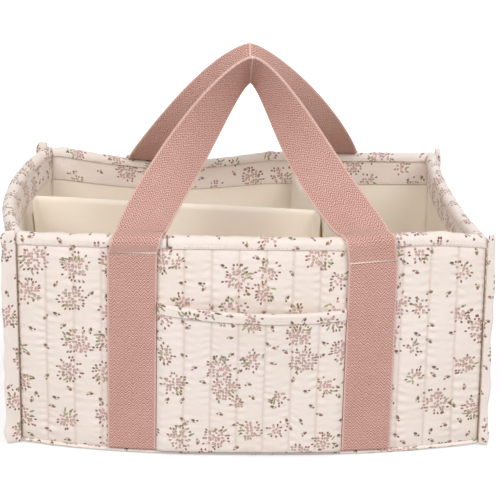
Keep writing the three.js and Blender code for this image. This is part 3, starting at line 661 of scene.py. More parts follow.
def rim_wave(x, y):
    """How far the rim rises or sags at a place in plan"""
    along = np.clip(x, -HALF_WIDTH, HALF_WIDTH)
    rise = np.cos(ramp(abs(along - FRONT_RISE_PLACE), 0, FRONT_RISE_REACH) * pi / 2)
    sag = np.cos(ramp(abs(along - BACK_SAG_PLACE), 0, BACK_SAG_REACH) * pi / 2)
    return np.where(y < 0, FRONT_RISE * rise, BACK_RISE - BACK_SAG * sag)


def settled(x, y, z):
    lean = z / HEIGHT
    share_x, share_y = abs(x) / HALF_WIDTH, abs(y) / HALF_DEPTH
    arch_x = 1 - np.minimum(share_x, 1) ** BELLY_POWER
    arch_y = 1 - np.minimum(share_y, 1) ** BOW_POWER
    grip_x, grip_y = ramp(share_x, GRIP_FROM, GRIP_TO), ramp(share_y, GRIP_FROM, GRIP_TO)
    side_move = np.where(x < 0, LEFT_BOW, RIGHT_DIP) * lean
    face_move = np.where(y < 0, mix(FOOT_BELLY, RIM_BELLY, lean), BACK_DIP * lean)
    flare = mix(np.where(x < 0, LEFT_FLARE, RIGHT_FLARE), RIM_FLARE, lean) * share_x**3
    moved_x = x + np.sign(x) * flare - side_move * grip_x * arch_y
    moved_y = y - face_move * grip_y * arch_x
    return np.stack([moved_x, moved_y, z + rim_wave(x, y) * lean**2 * grip_y], axis=1)


def settled_wall(x, y, z):
    """A wall is also drawn up a little at the foot of its corners"""
    near_corner = ramp(abs(x) / HALF_WIDTH, CORNER_FROM, 1) * ramp(abs(y) / HALF_DEPTH, CORNER_FROM, 1)
    return settled(x, y, z + CORNER_LIFT * near_corner**2 * (1 - z / HEIGHT))


print("half the width, half the depth and the height:", HALF_WIDTH, HALF_DEPTH, HEIGHT)

# %% [markdown]
# A wall has two directions of its own: the run along it and the depth inwards from the line of
# its corner seams. Each layer stops a little short of the corner, by its own depth, as boards
# do in a mitred frame, so that the layers of two walls never cross.

# %% Places on a wall
LAY_GAP, MITRE_GAP = 0.4 * MM, 0.3 * MM
HALVES = {"front": HALF_WIDTH, "back": HALF_WIDTH, "left": HALF_DEPTH, "right": HALF_DEPTH}
CHANNELS = {"front": 17, "back": 17, "left": 12, "right": 12}


def wall_spot(side, run, depth, z):
    """A place on a wall, by its run along it and its depth inwards from the seam line"""
    run, depth, z = np.broadcast_arrays(run, depth, z)
    x, y = {
        "front": (run, depth - HALF_DEPTH),
        "back": (run, HALF_DEPTH - depth),
        "left": (depth - HALF_WIDTH, run),
        "right": (HALF_WIDTH - depth, run),
    }[side]
    return settled_wall(x, y, z)


def mitred(side, across, depth):
    """The run of a wall's layer, which stops short of the corner by its own depth"""
    return (2 * across - 1) * (HALVES[side] - np.maximum(depth, 0) - MITRE_GAP)


print("rim at the middle of the back:", wall_spot("back", np.array([0.0]), 0.0, HEIGHT)[0].round(4))

# %% [markdown]
# ## A piece of cloth
# Each sewn piece is a sheet with two faces. It could be a plane with a Solidify modifier, but
# then both faces would have the same shape, and a quilt is flat behind. Here a grid is extruded
# once, and a placing rule sends each vertex to its spot. The flat grid also gives the cloth its
# UV map in real metres, so that print and weave keep their scale on every piece.

# %% Make a sheet with two faces
RIM_ANGLE = radians(50)


def loop_values(mesh, layer, pairs):
    """A UV map from one pair of values for each vertex"""
    corners = np.empty(len(mesh.loops), dtype=np.int32)
    mesh.loops.foreach_get("vertex_index", corners)
    mesh.uv_layers.new(name=layer).data.foreach_set("uv", pairs[corners].astype(np.float32).ravel())


def two_faced_grid(columns, rows):
    """A flat sheet from 0 to 1 both ways, with its other face at a height of 1"""
    bm = bmesh.new()
    bmesh.ops.create_grid(bm, x_segments=columns, y_segments=rows, size=0.5)
    bmesh.ops.translate(bm, verts=bm.verts, vec=(0.5, 0.5, 0))
    grown = bmesh.ops.extrude_face_region(bm, geom=bm.faces[:])["geom"]
    bmesh.ops.translate(bm, verts=[v for v in grown if isinstance(v, bmesh.types.BMVert)], vec=(0, 0, 1))
    return bm


def soften_rims(bm, under, edge):
    """Rounds the long edges all round the sheet, where its narrow sides meet its two faces"""
    sides = {face for face in bm.faces if len({under[v.index] > 0.5 for v in face.verts}) == 2}
    shared = {e: len(sides.intersection(e.link_faces)) for e in bm.edges}
    corners = {e for e, count in shared.items() if count == 2 and e.calc_face_angle(0) > RIM_ANGLE}
    rims = [e for e, count in shared.items() if count == 1 or e in corners]
    bmesh.ops.bevel(
        bm, geom=rims, offset=edge, affect="EDGES", segments=2, profile=0.5, material=-1, clamp_overlap=True
    )


def finished(name, mesh, finish, body):
    """A piece in the scene, with its finish, that moves with one of the bodies"""
    mesh.shade_smooth()
    piece = bpy.data.objects.new(name, mesh)
    bpy.context.scene.collection.objects.link(piece)
    material, slot_name = FINISHES[finish]
    mesh.materials.append(material)
    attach(piece, body)
    return piece


def cloth_piece(
    name, finish, columns, rows, place, size, body="caddy", origin=(0, 0), channels=1, edge=0.0, marks=(0, 1)
):
    """A sheet whose vertices are put in their place; marks share its length out over the rows"""
    bm = two_faced_grid(columns, rows)
    mesh = bpy.data.meshes.new(name)
    bm.to_mesh(mesh)
    flat = np.empty(len(mesh.vertices) * 3, dtype=np.float32)
    mesh.vertices.foreach_get("co", flat)
    across, up, under = flat.reshape(-1, 3).astype(float).T
    length = np.interp(up, np.linspace(0, 1, len(marks)), marks) * size[1]
    loop_values(mesh, "cloth", np.stack([origin[0] + across * size[0], origin[1] + length], axis=1))
    loop_values(mesh, "quilt", np.stack([across * channels, up * size[1]], axis=1))
    mesh.vertices.foreach_set("co", place(across, up, under).astype(np.float32).ravel())
    bm.clear()
    bm.from_mesh(mesh)
    bmesh.ops.recalc_face_normals(bm, faces=bm.faces)
    if edge:
        soften_rims(bm, under, edge)
    bm.to_mesh(mesh)
    bm.free()
    return finished(name, mesh, finish, body)


print("rims are rounded where faces meet at more than", round(RIM_ANGLE, 2), "radians")

# %% [markdown]
# Soft cloth is never quite even. A few sine waves in random directions, added together, give
# gentle folds. Random numbers for each vertex would give gravel instead of cloth.

# %% Soft folds
RIPPLE_WAVES, RIPPLE_CALM = 7, 4.2
RIPPLE_LEAST, RIPPLE_MOST = 0.6, 1.7


def ripples(across, up, seed, reach):
    """Soft random folds between -1 and 1; reach is the usual width of one fold in metres"""
    lots = np.random.default_rng(seed)
    total = 0
    for _ in range(RIPPLE_WAVES):
        angle, phase = lots.uniform(0, 2 * pi), lots.uniform(0, 2 * pi)
        stretch = lots.uniform(RIPPLE_LEAST, RIPPLE_MOST)
        heading = across * cos(angle) + up * sin(angle)
        total = total + np.sin(heading * 2 * pi / (reach * stretch) + phase)
    return total / RIPPLE_CALM


def hump(value, middle, reach):
    """A smooth bump, 1 at its middle and nearly 0 at twice its reach"""
    return np.exp(-(((value - middle) / reach) ** 2))


print("folds from", RIPPLE_WAVES, "waves")

# %% [markdown]
# ## Quilted walls
# Two cloths with wadding between them are sewn together in upright lines. The wadding swells
# between two lines and is pinched at each, and the pull of the thread gathers the cloth into
# short creases across the seam. A cloth simulation could inflate it, but a formula for the puff
# costs nothing, keeps the seams exact, and stays under the straps and bands that press it flat.

# %% Puff of the quilting
CHANNEL_PUFF, SWELL_POWER, SLACK_REACH, LEAST_SLACK = 2.2 * MM, 0.5, 55 * MM, 0.84
CREASE_PULL, CREASE_PITCH, CREASE_STEP, CREASE_SWAY = 1.1 * MM, 7 * MM, 2.1, 3.2
SWAY_REACH, GATHER_REACH, GATHER_SHARE = 40 * MM, 30 * MM, 0.45
GATHER_PLACE, GATHER_WIDTH = 2.5 * MM, 5 * MM


def quilt_puff(run, z, half, count, seed):
    """Puff of a channel, with the creases that gather along its seams"""
    phase = (run + half) / (2 * half) * count
    seam_gap = abs(phase - np.round(phase)) * 2 * half / count
    swell = np.abs(np.sin(pi * phase)) ** SWELL_POWER
    slack = LEAST_SLACK + (1 - LEAST_SLACK) * ripples(run, z, seed, SLACK_REACH)
    sway = np.floor(phase) * CREASE_STEP + CREASE_SWAY * ripples(run, z, seed + 1, SWAY_REACH)
    crease = np.sin(z * 2 * pi / CREASE_PITCH + sway)
    patches = GATHER_SHARE + (1 - GATHER_SHARE) * ripples(run, z, seed + 2, GATHER_REACH)
    gather = hump(seam_gap, GATHER_PLACE, GATHER_WIDTH) * patches
    return CHANNEL_PUFF * swell * slack + CREASE_PULL * crease * gather * np.minimum(swell * 2, 1)


print("the quilting swells by", CHANNEL_PUFF / MM, "mm")

# %% [markdown]
# The four outer panels reach from the table to the rim. They are flat under the foot roll and
# the rim band, and pressed down where a handle leg is sewn on.

# %% The four outer panels
QUILT_THICKNESS, FULL_PUFF, UNDER_LEG_PUFF, LEG_PRESS = 2.4 * MM, 2.6 * MM, 1.55 * MM, 7 * MM
BASE_ROLL_HEIGHT, RIM_BAND_HEIGHT, CROWN_FADE = 4 * MM, 9 * MM, 9 * MM
RIM_INNER_RADIUS, BINDING_THICKNESS = 4 * MM, 1.2 * MM
RIM_CENTRE = HEIGHT - RIM_INNER_RADIUS - BINDING_THICKNESS
LEG_CENTRE, LEG_EDGE_FADE = 98 * MM, 2 * MM
CHANNEL_COLUMNS, PANEL_ROWS, PANEL_PRINT = 16, 96, np.array([0.37, 0.21])


def near_leg(run, margin):
    """1 where a handle leg lies on the wall, 0 away from it"""
    edge = WEBBING_HALF + margin
    return ramp(abs(abs(run) - LEG_CENTRE), edge, edge - LEG_EDGE_FADE)


def quilted_wall(side, seed):
    half, count = HALVES[side], CHANNELS[side]
    foot_flat, rim_flat = BASE_ROLL_HEIGHT + LAY_GAP, HEIGHT - RIM_BAND_HEIGHT - LAY_GAP

    def place(across, up, under):
        z = up * RIM_CENTRE
        run = mitred(side, across, 0.0)
        free = ramp(z, foot_flat, foot_flat + CROWN_FADE) * ramp(z, rim_flat, rim_flat - CROWN_FADE)
        puff = np.maximum(quilt_puff(run, z, half, count, seed), 0) * np.sqrt(free)
        if side in ("front", "back"):
            puff = np.minimum(puff, mix(FULL_PUFF, UNDER_LEG_PUFF, near_leg(run, LEG_PRESS)))
        depth = np.where(under > 0.5, QUILT_THICKNESS, -puff)
        return wall_spot(side, mitred(side, across, depth), depth, z)

    name, columns, size = side + "_quilted_panel", count * CHANNEL_COLUMNS, (2 * half, RIM_CENTRE)
    start = seed * PANEL_PRINT
    panel = cloth_piece(name, "quilted print", columns, PANEL_ROWS, place, size, origin=start, channels=count)
    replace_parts(panel, side + "_panel")
    return panel


for seed, side in enumerate(HALVES, start=1):
    panel = quilted_wall(side, seed)
    print(panel.name, len(panel.data.polygons), "faces")

# %% [markdown]
# ## Lining and facing
# Inside, plain ivory cotton hangs over the board, and the print is turned down over its top
# edge as a facing. Both could be one strip, but the facing is a layer of its own with a hem
# that shows. The lining is cut a little large, so it gets soft upright folds near the corners.

# %% The four linings and facings
BOARD_IN, LINING_IN, FACING_IN, STACK_DEPTH = 2.8 * MM, 5.0 * MM, 6.4 * MM, 7.2 * MM
LINING_THICKNESS, FACING_THICKNESS, FACING_DROP = 1 * MM, 0.8 * MM, 31 * MM
LINING_FOOT, LAYER_STEP, LAYER_ROWS, LAYER_PRINT = 5.8 * MM, 1.6 * MM, 60, np.array([0.23, 0.31])
LINING_SLACK, FACING_SLACK, FOLD_REACH, FOLD_LENGTHEN = 1.6 * MM, 1.1 * MM, 34 * MM, 0.25
LINING_LOOSE = (HEIGHT - 36 * MM, HEIGHT - 56 * MM)
UNDER_RIM, FOOT_HOLD = (HEIGHT - 12 * MM, HEIGHT - 22 * MM), 12 * MM
CORNER_SHARE, CORNER_NEAR, CORNER_HOLD = 0.35, (0.55, 0.93), (4 * MM, 12 * MM)
FLAP_ZONES = {"front": (80 * MM, 104 * MM), "back": (46 * MM, 72 * MM), "left": (5 * MM, 31 * MM)}
FLAP_CLEAR, FLAP_FADE = 2 * MM, 14 * MM


def beside_flap(side, run):
    """0 where a divider flap lies on the lining, 1 away from it"""
    if side not in FLAP_ZONES:
        return 1
    low, high = FLAP_ZONES[side]
    half = (high - low) / 2
    return ramp(abs(run - (low + high) / 2), half + FLAP_CLEAR, half + FLAP_FADE)


def flat_layer(name, side, finish, outer, thickness, bottom, seed, slack, loose=None):
    """A layer of a wall; loose is the stretch of height over which its folds begin"""
    half = HALVES[side]

    def place(across, up, under):
        z = mix(bottom, RIM_CENTRE, up)
        run = mitred(side, across, outer)
        free = ramp(z, *UNDER_RIM) * ramp(z, bottom, bottom + FOOT_HOLD) * beside_flap(side, run)
        corner = ramp(abs(run) / half, *CORNER_NEAR) * ramp(half - abs(run), *CORNER_HOLD)
        fold = np.maximum(ripples(run, z * FOLD_LENGTHEN, seed, FOLD_REACH), 0) * free
        fold = fold * (CORNER_SHARE + (1 - CORNER_SHARE) * corner) * (ramp(z, *loose) if loose else 1)
        inner = outer + under * thickness
        return wall_spot(side, mitred(side, across, inner), inner + slack * fold, z)

    size = (2 * half, RIM_CENTRE - bottom)
    columns, start = round(half / LAYER_STEP), seed * LAYER_PRINT
    return cloth_piece(name, finish, columns, LAYER_ROWS, place, size, origin=start), size


for seed, side in enumerate(HALVES, start=11):
    lining, size = flat_layer(
        side + "_inner_cloth", side, "ivory", LINING_IN, LINING_THICKNESS, LINING_FOOT, seed, LINING_SLACK,
        loose=LINING_LOOSE,
    )
    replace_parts(lining, side + "_lining")
    hem, hem_seed = HEIGHT - FACING_DROP, seed + 7
    facing, size = flat_layer(
        side + "_turned_facing", side, "flat print", FACING_IN, FACING_THICKNESS, hem, hem_seed, FACING_SLACK
    )
    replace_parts(facing, side + "_facing")
    print(side, "lining and facing:", len(lining.data.polygons) + len(facing.data.polygons), "faces")

# %% [markdown]
# ## Rim binding
# A strip of the print is folded over the raw top edge and stitched through all the layers. It
# could be a swept curve, but a sheet wrapped over a rounded path keeps a true inner face and a
# print that runs over the edge. Its ends are lapped at the front, just right of the left leg.

# %% The bands over the rim
RIM_OUTER_RADIUS = RIM_INNER_RADIUS + BINDING_THICKNESS
RIM_INNER_FOOT = HEIGHT - 7.5 * MM
BAND_STEP, BAND_ROWS, BAND_PRINT = 0.7 * MM, 26, np.array([0.41, 0.17])
BAND_RIPPLE, BAND_REACH, BAND_CROWN, LEG_MARGIN = 0.6 * MM, 18 * MM, 0.3 * MM, 4 * MM
PUCKER, PUCKER_PITCH, PUCKER_SWAY, PUCKER_REACH = 0.3 * MM, 6 * MM, 3, 30 * MM
PUCKER_PLACE = (3 * MM, 4 * MM)
LAP_PLACE, LAP_HEIGHT, LAP_DIP = -70 * MM, 0.9 * MM, 1.3 * MM
LAP_RISE, LAP_FALL = (1 * MM, 2.6 * MM), (16 * MM, 5 * MM)


def band_swell(side, run, along, up, seed):
    """How far the band stands out, puckered along its row of stitches"""
    loose = (1 - near_leg(run, LEG_MARGIN)) if side in ("front", "back") else 1
    swell = BAND_RIPPLE * ripples(run, along, seed, BAND_REACH) + BAND_CROWN * np.sin(up * pi)
    turn = run * 2 * pi / PUCKER_PITCH + PUCKER_SWAY * ripples(run, along, seed + 3, PUCKER_REACH)
    swell = swell + PUCKER * np.sin(turn) * hump(along, *PUCKER_PLACE)
    return np.maximum(swell, -BAND_RIPPLE) * loose * np.sin(np.clip(up, 0, 1) * pi) ** 0.5


def lapped_end(run):
    """The band's end lies over its start, with a dip where the edge is sewn down"""
    lap = run - LAP_PLACE
    return LAP_HEIGHT * (ramp(lap, *LAP_RISE) * ramp(lap, *LAP_FALL) - hump(lap, 0, LAP_DIP))


def rim_binding(side, seed):
    up_run, arc_run = RIM_CENTRE - (HEIGHT - RIM_BAND_HEIGHT), pi * RIM_OUTER_RADIUS
    down_run = RIM_CENTRE - RIM_INNER_FOOT
    total = up_run + arc_run + down_run

    def place(across, up, under):
        along = up * total
        turn = ramp(along, up_run, up_run + arc_run) * pi
        run = mitred(side, across, 0.0)
        swell = band_swell(side, run, along, up, seed) * (1 - under)
        if side == "front":
            swell = swell + (1 - under) * lapped_end(run)
        radius = mix(RIM_OUTER_RADIUS + swell, RIM_INNER_RADIUS, under)
        depth = STACK_DEPTH / 2 - radius * np.cos(turn)
        z = RIM_CENTRE - up_run + np.minimum(along, up_run) + radius * np.sin(turn)
        z = z - ramp(along, up_run + arc_run, total) * down_run
        return wall_spot(side, mitred(side, across, depth), depth, z)

    size, columns = (2 * HALVES[side], total), round(HALVES[side] / BAND_STEP)
    start = seed * BAND_PRINT
    band = cloth_piece(
        side + "_rim_band", "flat print", columns, BAND_ROWS, place, size, origin=start, edge=0.35 * MM
    )
    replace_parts(band, side + "_rim_binding")
    return band


for seed, side in enumerate(HALVES, start=31):
    band = rim_binding(side, seed)
    print(band.name, len(band.data.polygons), "faces")

# %% [markdown]
# ## Corner bindings
# Where two walls meet, their raw edges stand out together as a thick seam wrapped in a strip of
# the print. It could be a cylinder, but a sewn edge is flatter and lumpy and ends in a rounded
# tip, so it is again a sheet with two faces. The seams on the right are narrower.

# %% Bound seams at the corners
STRIP_REACH = {-1: 11 * MM, 1: 6 * MM}
STRIP_THICKNESS, STRIP_RISE, STRIP_STANDOFF, STRIP_ALLOWANCE = 4 * MM, 3 * MM, 0.8 * MM, 2 * MM
STRIP_TURN, STRIP_GRID, STRIP_PRINT = radians(20), (12, 90), np.array([0.29, 0.13])
TIP_FROM, TIP_TAPER, TIP_ROUND = HEIGHT - 4 * MM, 0.3, 0.8
FOOT_PUFF, FOOT_ROUND, FOOT_ROUND_TOP = (1 * MM, 16 * MM), 0.6, 3 * MM
STRIP_SWAY, STRIP_SWAY_REACH, STRIP_LUMP_REACH = 1.1 * MM, 26 * MM, 17 * MM
FOOT_LUMP, STRIP_LUMP, LUMP_FADE = 0.3, 0.2, (0.1, 0.4)
EDGE_ROUND, EDGE_FROM, EDGE_POWER = 0.86, 0.55, 2.5


def corner_seam(x_side, y_side, name, seed):
    middle = HALF_DEPTH + STRIP_THICKNESS / 2 + LAY_GAP
    height, reach = HEIGHT + STRIP_RISE - LAY_GAP, STRIP_REACH[x_side]

    def place(across, up, under):
        z = LAY_GAP + up * height
        tip = ramp(z, TIP_FROM, HEIGHT + STRIP_RISE)
        foot = np.sin(pi * ramp(z, *FOOT_PUFF))
        sway = STRIP_SWAY * (ripples(0 * z, z, seed, STRIP_SWAY_REACH) + foot)
        out = across * (reach * (1 - TIP_TAPER * tip**2) + sway)
        round_edge = np.sqrt(1 - EDGE_ROUND * ramp(across, EDGE_FROM, 1) ** EDGE_POWER)
        round_tip = np.sqrt(1 - TIP_ROUND * tip**3)
        round_foot = np.sqrt(1 - FOOT_ROUND * ramp(z, FOOT_ROUND_TOP, LAY_GAP) ** 2)
        uneven = ripples(across * reach, z, seed + 1, STRIP_LUMP_REACH) * ramp(across, *LUMP_FADE)
        lumps = 1 + FOOT_LUMP * foot + STRIP_LUMP * uneven
        swell = STRIP_THICKNESS / 2 * round_edge * round_tip * round_foot * lumps * (2 * under - 1)
        x = HALF_WIDTH + STRIP_STANDOFF + out * cos(STRIP_TURN) - swell * sin(STRIP_TURN)
        y = middle + out * sin(STRIP_TURN) + swell * cos(STRIP_TURN)
        return settled_wall(x_side * x, y_side * y, z)

    size, start = (reach + STRIP_ALLOWANCE, height), seed * STRIP_PRINT
    return cloth_piece(name, "flat print", *STRIP_GRID, place, size, origin=start, edge=0.5 * MM)


for seed, (x_side, y_side) in enumerate([(-1, -1), (1, -1), (-1, 1), (1, 1)], start=51):
    corner = ("front_" if y_side < 0 else "back_") + ("left_" if x_side < 0 else "right_")
    strip = corner_seam(x_side, y_side, corner + "bound_seam", seed)
    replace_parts(strip, corner + "corner_binding")
    print(strip.name, len(strip.data.polygons), "faces")

# %% [markdown]
# ## Foot roll
# A thin roll of the print runs round the foot, where the walls are sewn to the floor. A swept
# circle would be too even, so its lumps come from the same soft folds as the rest.

# %% The roll round the foot
ROLL_PROUD, ROLL_LUMP, ROLL_LUMP_REACH = 2.2 * MM, 0.3, 13 * MM
ROLL_WIDTH, ROLL_ROWS, ROLL_PRINT = 10 * MM, 6, np.array([0.19, 0.43])


def foot_roll(side, seed):
    def place(across, up, under):
        z = mix(LAY_GAP, BASE_ROLL_HEIGHT, up)
        run = mitred(side, across, 0.0)
        lumps = 1 + ROLL_LUMP * ripples(run, z, seed, ROLL_LUMP_REACH)
        proud = mix(BINDING_THICKNESS / 2, ROLL_PROUD * lumps, np.sin(pi * up))
        return wall_spot(side, run, -LAY_GAP - (1 - under) * proud, z)

    size, columns = (2 * HALVES[side], ROLL_WIDTH), round(HALVES[side] / LAYER_STEP)
    start = seed * ROLL_PRINT
    return cloth_piece(side + "_foot_roll", "flat print", columns, ROLL_ROWS, place, size, origin=start)


for seed, side in enumerate(HALVES, start=61):
    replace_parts(foot_roll(side, seed), side + "_base_binding")
print("foot rolls on", len(HALVES), "sides")

# %% [markdown]
# ## Floor
# The floor is the same quilt laid flat, with a board and the ivory lining on top. The quilt
# lies on the table, so its under side is flat and only the stitched lines are drawn up.

# %% Floor panel and floor lining
BASE_PANEL_THICKNESS, QUILT_LINE_DEPTH, BASE_LINING_FLOOR = 2.6 * MM, 0.5 * MM, 5.8 * MM
FLOOR_CHANNELS, FLOOR_GRID, LINING_GRID = 17, (17 * 8, 60), (90, 60)
FLOOR_LUMP, FLOOR_LUMP_REACH, FLOOR_SEED = 0.12 * MM, 60 * MM, 71


def floor_plan(across, up, inset):
    return (2 * across - 1) * (HALF_WIDTH - inset), (2 * up - 1) * (HALF_DEPTH - inset)


def floor_panel(across, up, under):
    x, y = floor_plan(across, up, BOARD_IN)
    line = abs(np.sin(pi * across * FLOOR_CHANNELS)) ** SWELL_POWER
    return settled(x, y, mix(QUILT_LINE_DEPTH * (1 - line), BASE_PANEL_THICKNESS, under))


def floor_lining(across, up, under):
    x, y = floor_plan(across, up, LINING_IN + LINING_THICKNESS + LAY_GAP)
    lump = FLOOR_LUMP * ripples(x, y, FLOOR_SEED, FLOOR_LUMP_REACH)
    return settled(x, y, BASE_LINING_FLOOR + under * (LINING_THICKNESS + lump))


floor_size = (2 * HALF_WIDTH, 2 * HALF_DEPTH)
under_panel = cloth_piece(
    "floor_quilted_panel", "quilted print", *FLOOR_GRID, floor_panel, floor_size, channels=FLOOR_CHANNELS
)
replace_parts(under_panel, "base_panel")
inner_floor = cloth_piece(
    "floor_inner_cloth", "ivory", *LINING_GRID, floor_lining, floor_size, origin=(0.3, 0.1)
)
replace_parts(inner_floor, "base_lining")
print("floor:", len(under_panel.data.polygons), "and", len(inner_floor.data.polygons), "faces")

# %% [markdown]
# ## Outer pockets
# A pocket is a smaller quilt, held by the handle legs at its sides. Its mouth is bound, hangs
# in a shallow curve and stands off the wall, because the cloth is wider than the gap it fills.

# %% Pocket panels
POCKET_HALF, POCKET_CHANNELS, POCKET_GRID = 77.6 * MM, 7, (98, 70)
POCKET_FOOT, POCKET_HEIGHT, POCKET_SAG, POCKET_SLANT = 5 * MM, 132 * MM, 2 * MM, 4 * MM
POCKET_BULGE, POCKET_THICKNESS, POCKET_PUFF = 10 * MM, 2 * MM, 1.8 * MM
POCKET_FOOT_FADE, POCKET_MOUTH_FADE, POCKET_TUCK = (0, 0.05), (0.96, 0.9), 2.5 * MM
POCKET_PRINT = np.array([0.33, 0.27])


def mouth_height(run):
    share = run / POCKET_HALF
    return POCKET_HEIGHT - POCKET_SLANT / 2 * share - POCKET_SAG * (1 - share**2)


def pocket_standoff(run, rise):
    share = np.minimum(abs(run) / POCKET_HALF, 1)
    edge = ramp(1 - share, 0, 1 / (2 * POCKET_CHANNELS))
    return BINDING_THICKNESS + 2 * LAY_GAP + CHANNEL_PUFF * edge + POCKET_BULGE * (1 - share**2) * rise**2


def pocket_panel(side, seed):
    def place(across, up, under):
        run = (2 * across - 1) * POCKET_HALF
        z = mix(POCKET_FOOT, mouth_height(run) - BINDING_THICKNESS - LAY_GAP, up)
        puff = quilt_puff(run, z, POCKET_HALF, POCKET_CHANNELS, seed) * POCKET_PUFF / CHANNEL_PUFF
        free = np.sqrt(ramp(up, *POCKET_FOOT_FADE) * ramp(up, *POCKET_MOUTH_FADE))
        tuck = ramp(POCKET_HALF - abs(run), 0, POCKET_TUCK)
        thickness = (1 - under) * (POCKET_THICKNESS + np.maximum(puff, 0) * free * tuck)
        return wall_spot(side, run, -pocket_standoff(run, up) - thickness, z)

    name, size, start = side + "_quilted_pocket", (2 * POCKET_HALF, POCKET_HEIGHT), seed * POCKET_PRINT
    looks = {"origin": start, "channels": POCKET_CHANNELS, "edge": 0.4 * MM}
    return cloth_piece(name, "quilted print", *POCKET_GRID, place, size, **looks)


print("the pocket's mouth is", mouth_height(0.0) / MM, "mm high in the middle")

# %% [markdown]
# The pocket's mouth is bound like the rim, with a strip of the print folded over it. The strip
# lies on the same curve and stands off the wall with the pocket, so it could not be a straight
# sweep.

# %% Pocket hems
HEM_HEIGHT, HEM_GRID, HEM_PRINT = 8 * MM, (90, 24), np.array([0.15, 0.39])
HEM_RIPPLE, HEM_REACH, HEM_FLATTEN = 0.25 * MM, 22 * MM, 0.42


def pocket_hem(side, seed):
    """A band folded over the pocket's mouth, which follows its curve"""
    inner, outer = -LAY_GAP, POCKET_THICKNESS + POCKET_PUFF / 2 + LAY_GAP
    half_gap, middle = (outer - inner) / 2, (outer + inner) / 2
    straight, arc = HEM_HEIGHT - BINDING_THICKNESS, pi * half_gap
    total = 2 * straight + arc

    def place(across, up, under):
        run = (2 * across - 1) * POCKET_HALF
        along = up * total
        turn = ramp(along, straight, straight + arc) * pi
        swell = HEM_RIPPLE * ripples(run, along, seed, HEM_REACH) * (1 - under) * np.sin(pi * up)
        radius = half_gap + (1 - under) * BINDING_THICKNESS + swell
        out = middle + radius * np.cos(turn)
        drop = HEM_HEIGHT - np.minimum(along, straight) + ramp(along, straight + arc, total) * straight
        drop = np.maximum(drop - np.sin(turn) * radius * HEM_FLATTEN, 0)
        z = mouth_height(run) - drop
        share = np.clip((z - POCKET_FOOT) / (mouth_height(run) - POCKET_FOOT), 0, 1)
        return wall_spot(side, run, -pocket_standoff(run, share) - out, z)

    name, size, start = side + "_pocket_band", (2 * POCKET_HALF, total), seed * HEM_PRINT
    return cloth_piece(name, "flat print", *HEM_GRID, place, size, origin=start, edge=0.3 * MM)


for seed, side in enumerate(["front", "back"], start=81):
    pocket = pocket_panel(side, seed)
    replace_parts(pocket, side + "_pocket")
    hem = pocket_hem(side, seed + 5)
    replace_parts(hem, side + "_pocket_hem")
    print(pocket.name, "with", hem.name)

# %% [markdown]
# ## Handles
# Each handle is one strip of 40 mm webbing, sewn flat to the wall up to a row of stitches and
# free above it. A leg could be a plain box, but it would cut into the quilting. As a sheet laid
# on the wall it follows the puffs a little, except at its two ends.

# %% Sewn legs
LEG_IN, WEBBING_THICKNESS, LEG_FOOT, LEG_GRID = -2 * MM, 2.2 * MM, 5 * MM, (26, 80)
LEFT_STITCH, RIGHT_STITCH = 176 * MM, 169 * MM
LEG_FOLLOW, LEG_TOP_HOLD, LEG_FOOT_HOLD = 0.45 * MM, 12 * MM, 0.08
WEBBING_EDGE = 0.5 * MM
SIDE_NAMES = {-1: "left", 1: "right"}


def stitch_height(x_side):
    return LEFT_STITCH if x_side < 0 else RIGHT_STITCH


def leg(side, x_side):
    top = stitch_height(x_side)

    def place(across, up, under):
        run = x_side * LEG_CENTRE + (2 * across - 1) * WEBBING_HALF
        z = mix(LEG_FOOT, top, up)
        phase = (run + HALF_WIDTH) / (2 * HALF_WIDTH) * CHANNELS[side]
        held = ramp(z, top, top - LEG_TOP_HOLD) * ramp(up, 0, LEG_FOOT_HOLD)
        follow = LEG_FOLLOW * np.abs(np.sin(pi * phase)) * held
        return wall_spot(side, run, LEG_IN - follow - (1 - under) * WEBBING_THICKNESS, z)

    size, name = (2 * WEBBING_HALF, top - LEG_FOOT), f"{side}_{SIDE_NAMES[x_side]}"
    piece = cloth_piece(name + "_sewn_webbing", "webbing", *LEG_GRID, place, size, edge=WEBBING_EDGE)
    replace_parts(piece, name + "_handle_leg")
    return piece


for side in ("front", "back"):
    for x_side in SIDE_NAMES:
        print(leg(side, x_side).name, "up to", stitch_height(x_side) / MM, "mm")

# %% [markdown]
# The free loop climbs over the rim, leans to the middle and turns on its way, so that it meets
# its other half folded on edge. A curve with a bevel would twist as it likes. So its centre line
# is three curves: straight up the wall, a bend over the rim and a long climb to the top. At each
# station along them the way across turns from level to a steep tilt.

# %% Centre line of a loop
HANDLE_TOP, TOP_TILT, TOP_HALF_GAP = 301 * MM, pi / 4, 0.2 * MM
STRAP_SHIFT, PULL_SHARE = 6 * MM, 0.256
HANG_OUT_SHARE, HANG_IN_SHARE, HANG_DROP_SHARE = 0.182, 0.029, 0.004
WALL_STEPS, RIM_STEPS, CLIMB_STEPS = 8, 16, 64
TILT_POWER, SQUARE_POWER, NUDGE = 1.3, 8, 1e-4


def loop_root(y_side):
    """How far out the free webbing starts, clear of the legs at both stitch rows"""
    depth = np.full(4, LEG_IN - WEBBING_THICKNESS / 2)
    x = np.array([LEG_CENTRE - WEBBING_HALF, LEG_CENTRE + WEBBING_HALF] * 2)
    z = np.array([LEFT_STITCH, LEFT_STITCH, RIGHT_STITCH, RIGHT_STITCH])
    return max(y_side * settled_wall(x, y_side * (HALF_DEPTH - depth), z)[:, 1])


def bezier(points, share):
    while len(points) > 1:
        points = [a.lerp(b, share) for a, b in zip(points, points[1:])]
    return points[0]


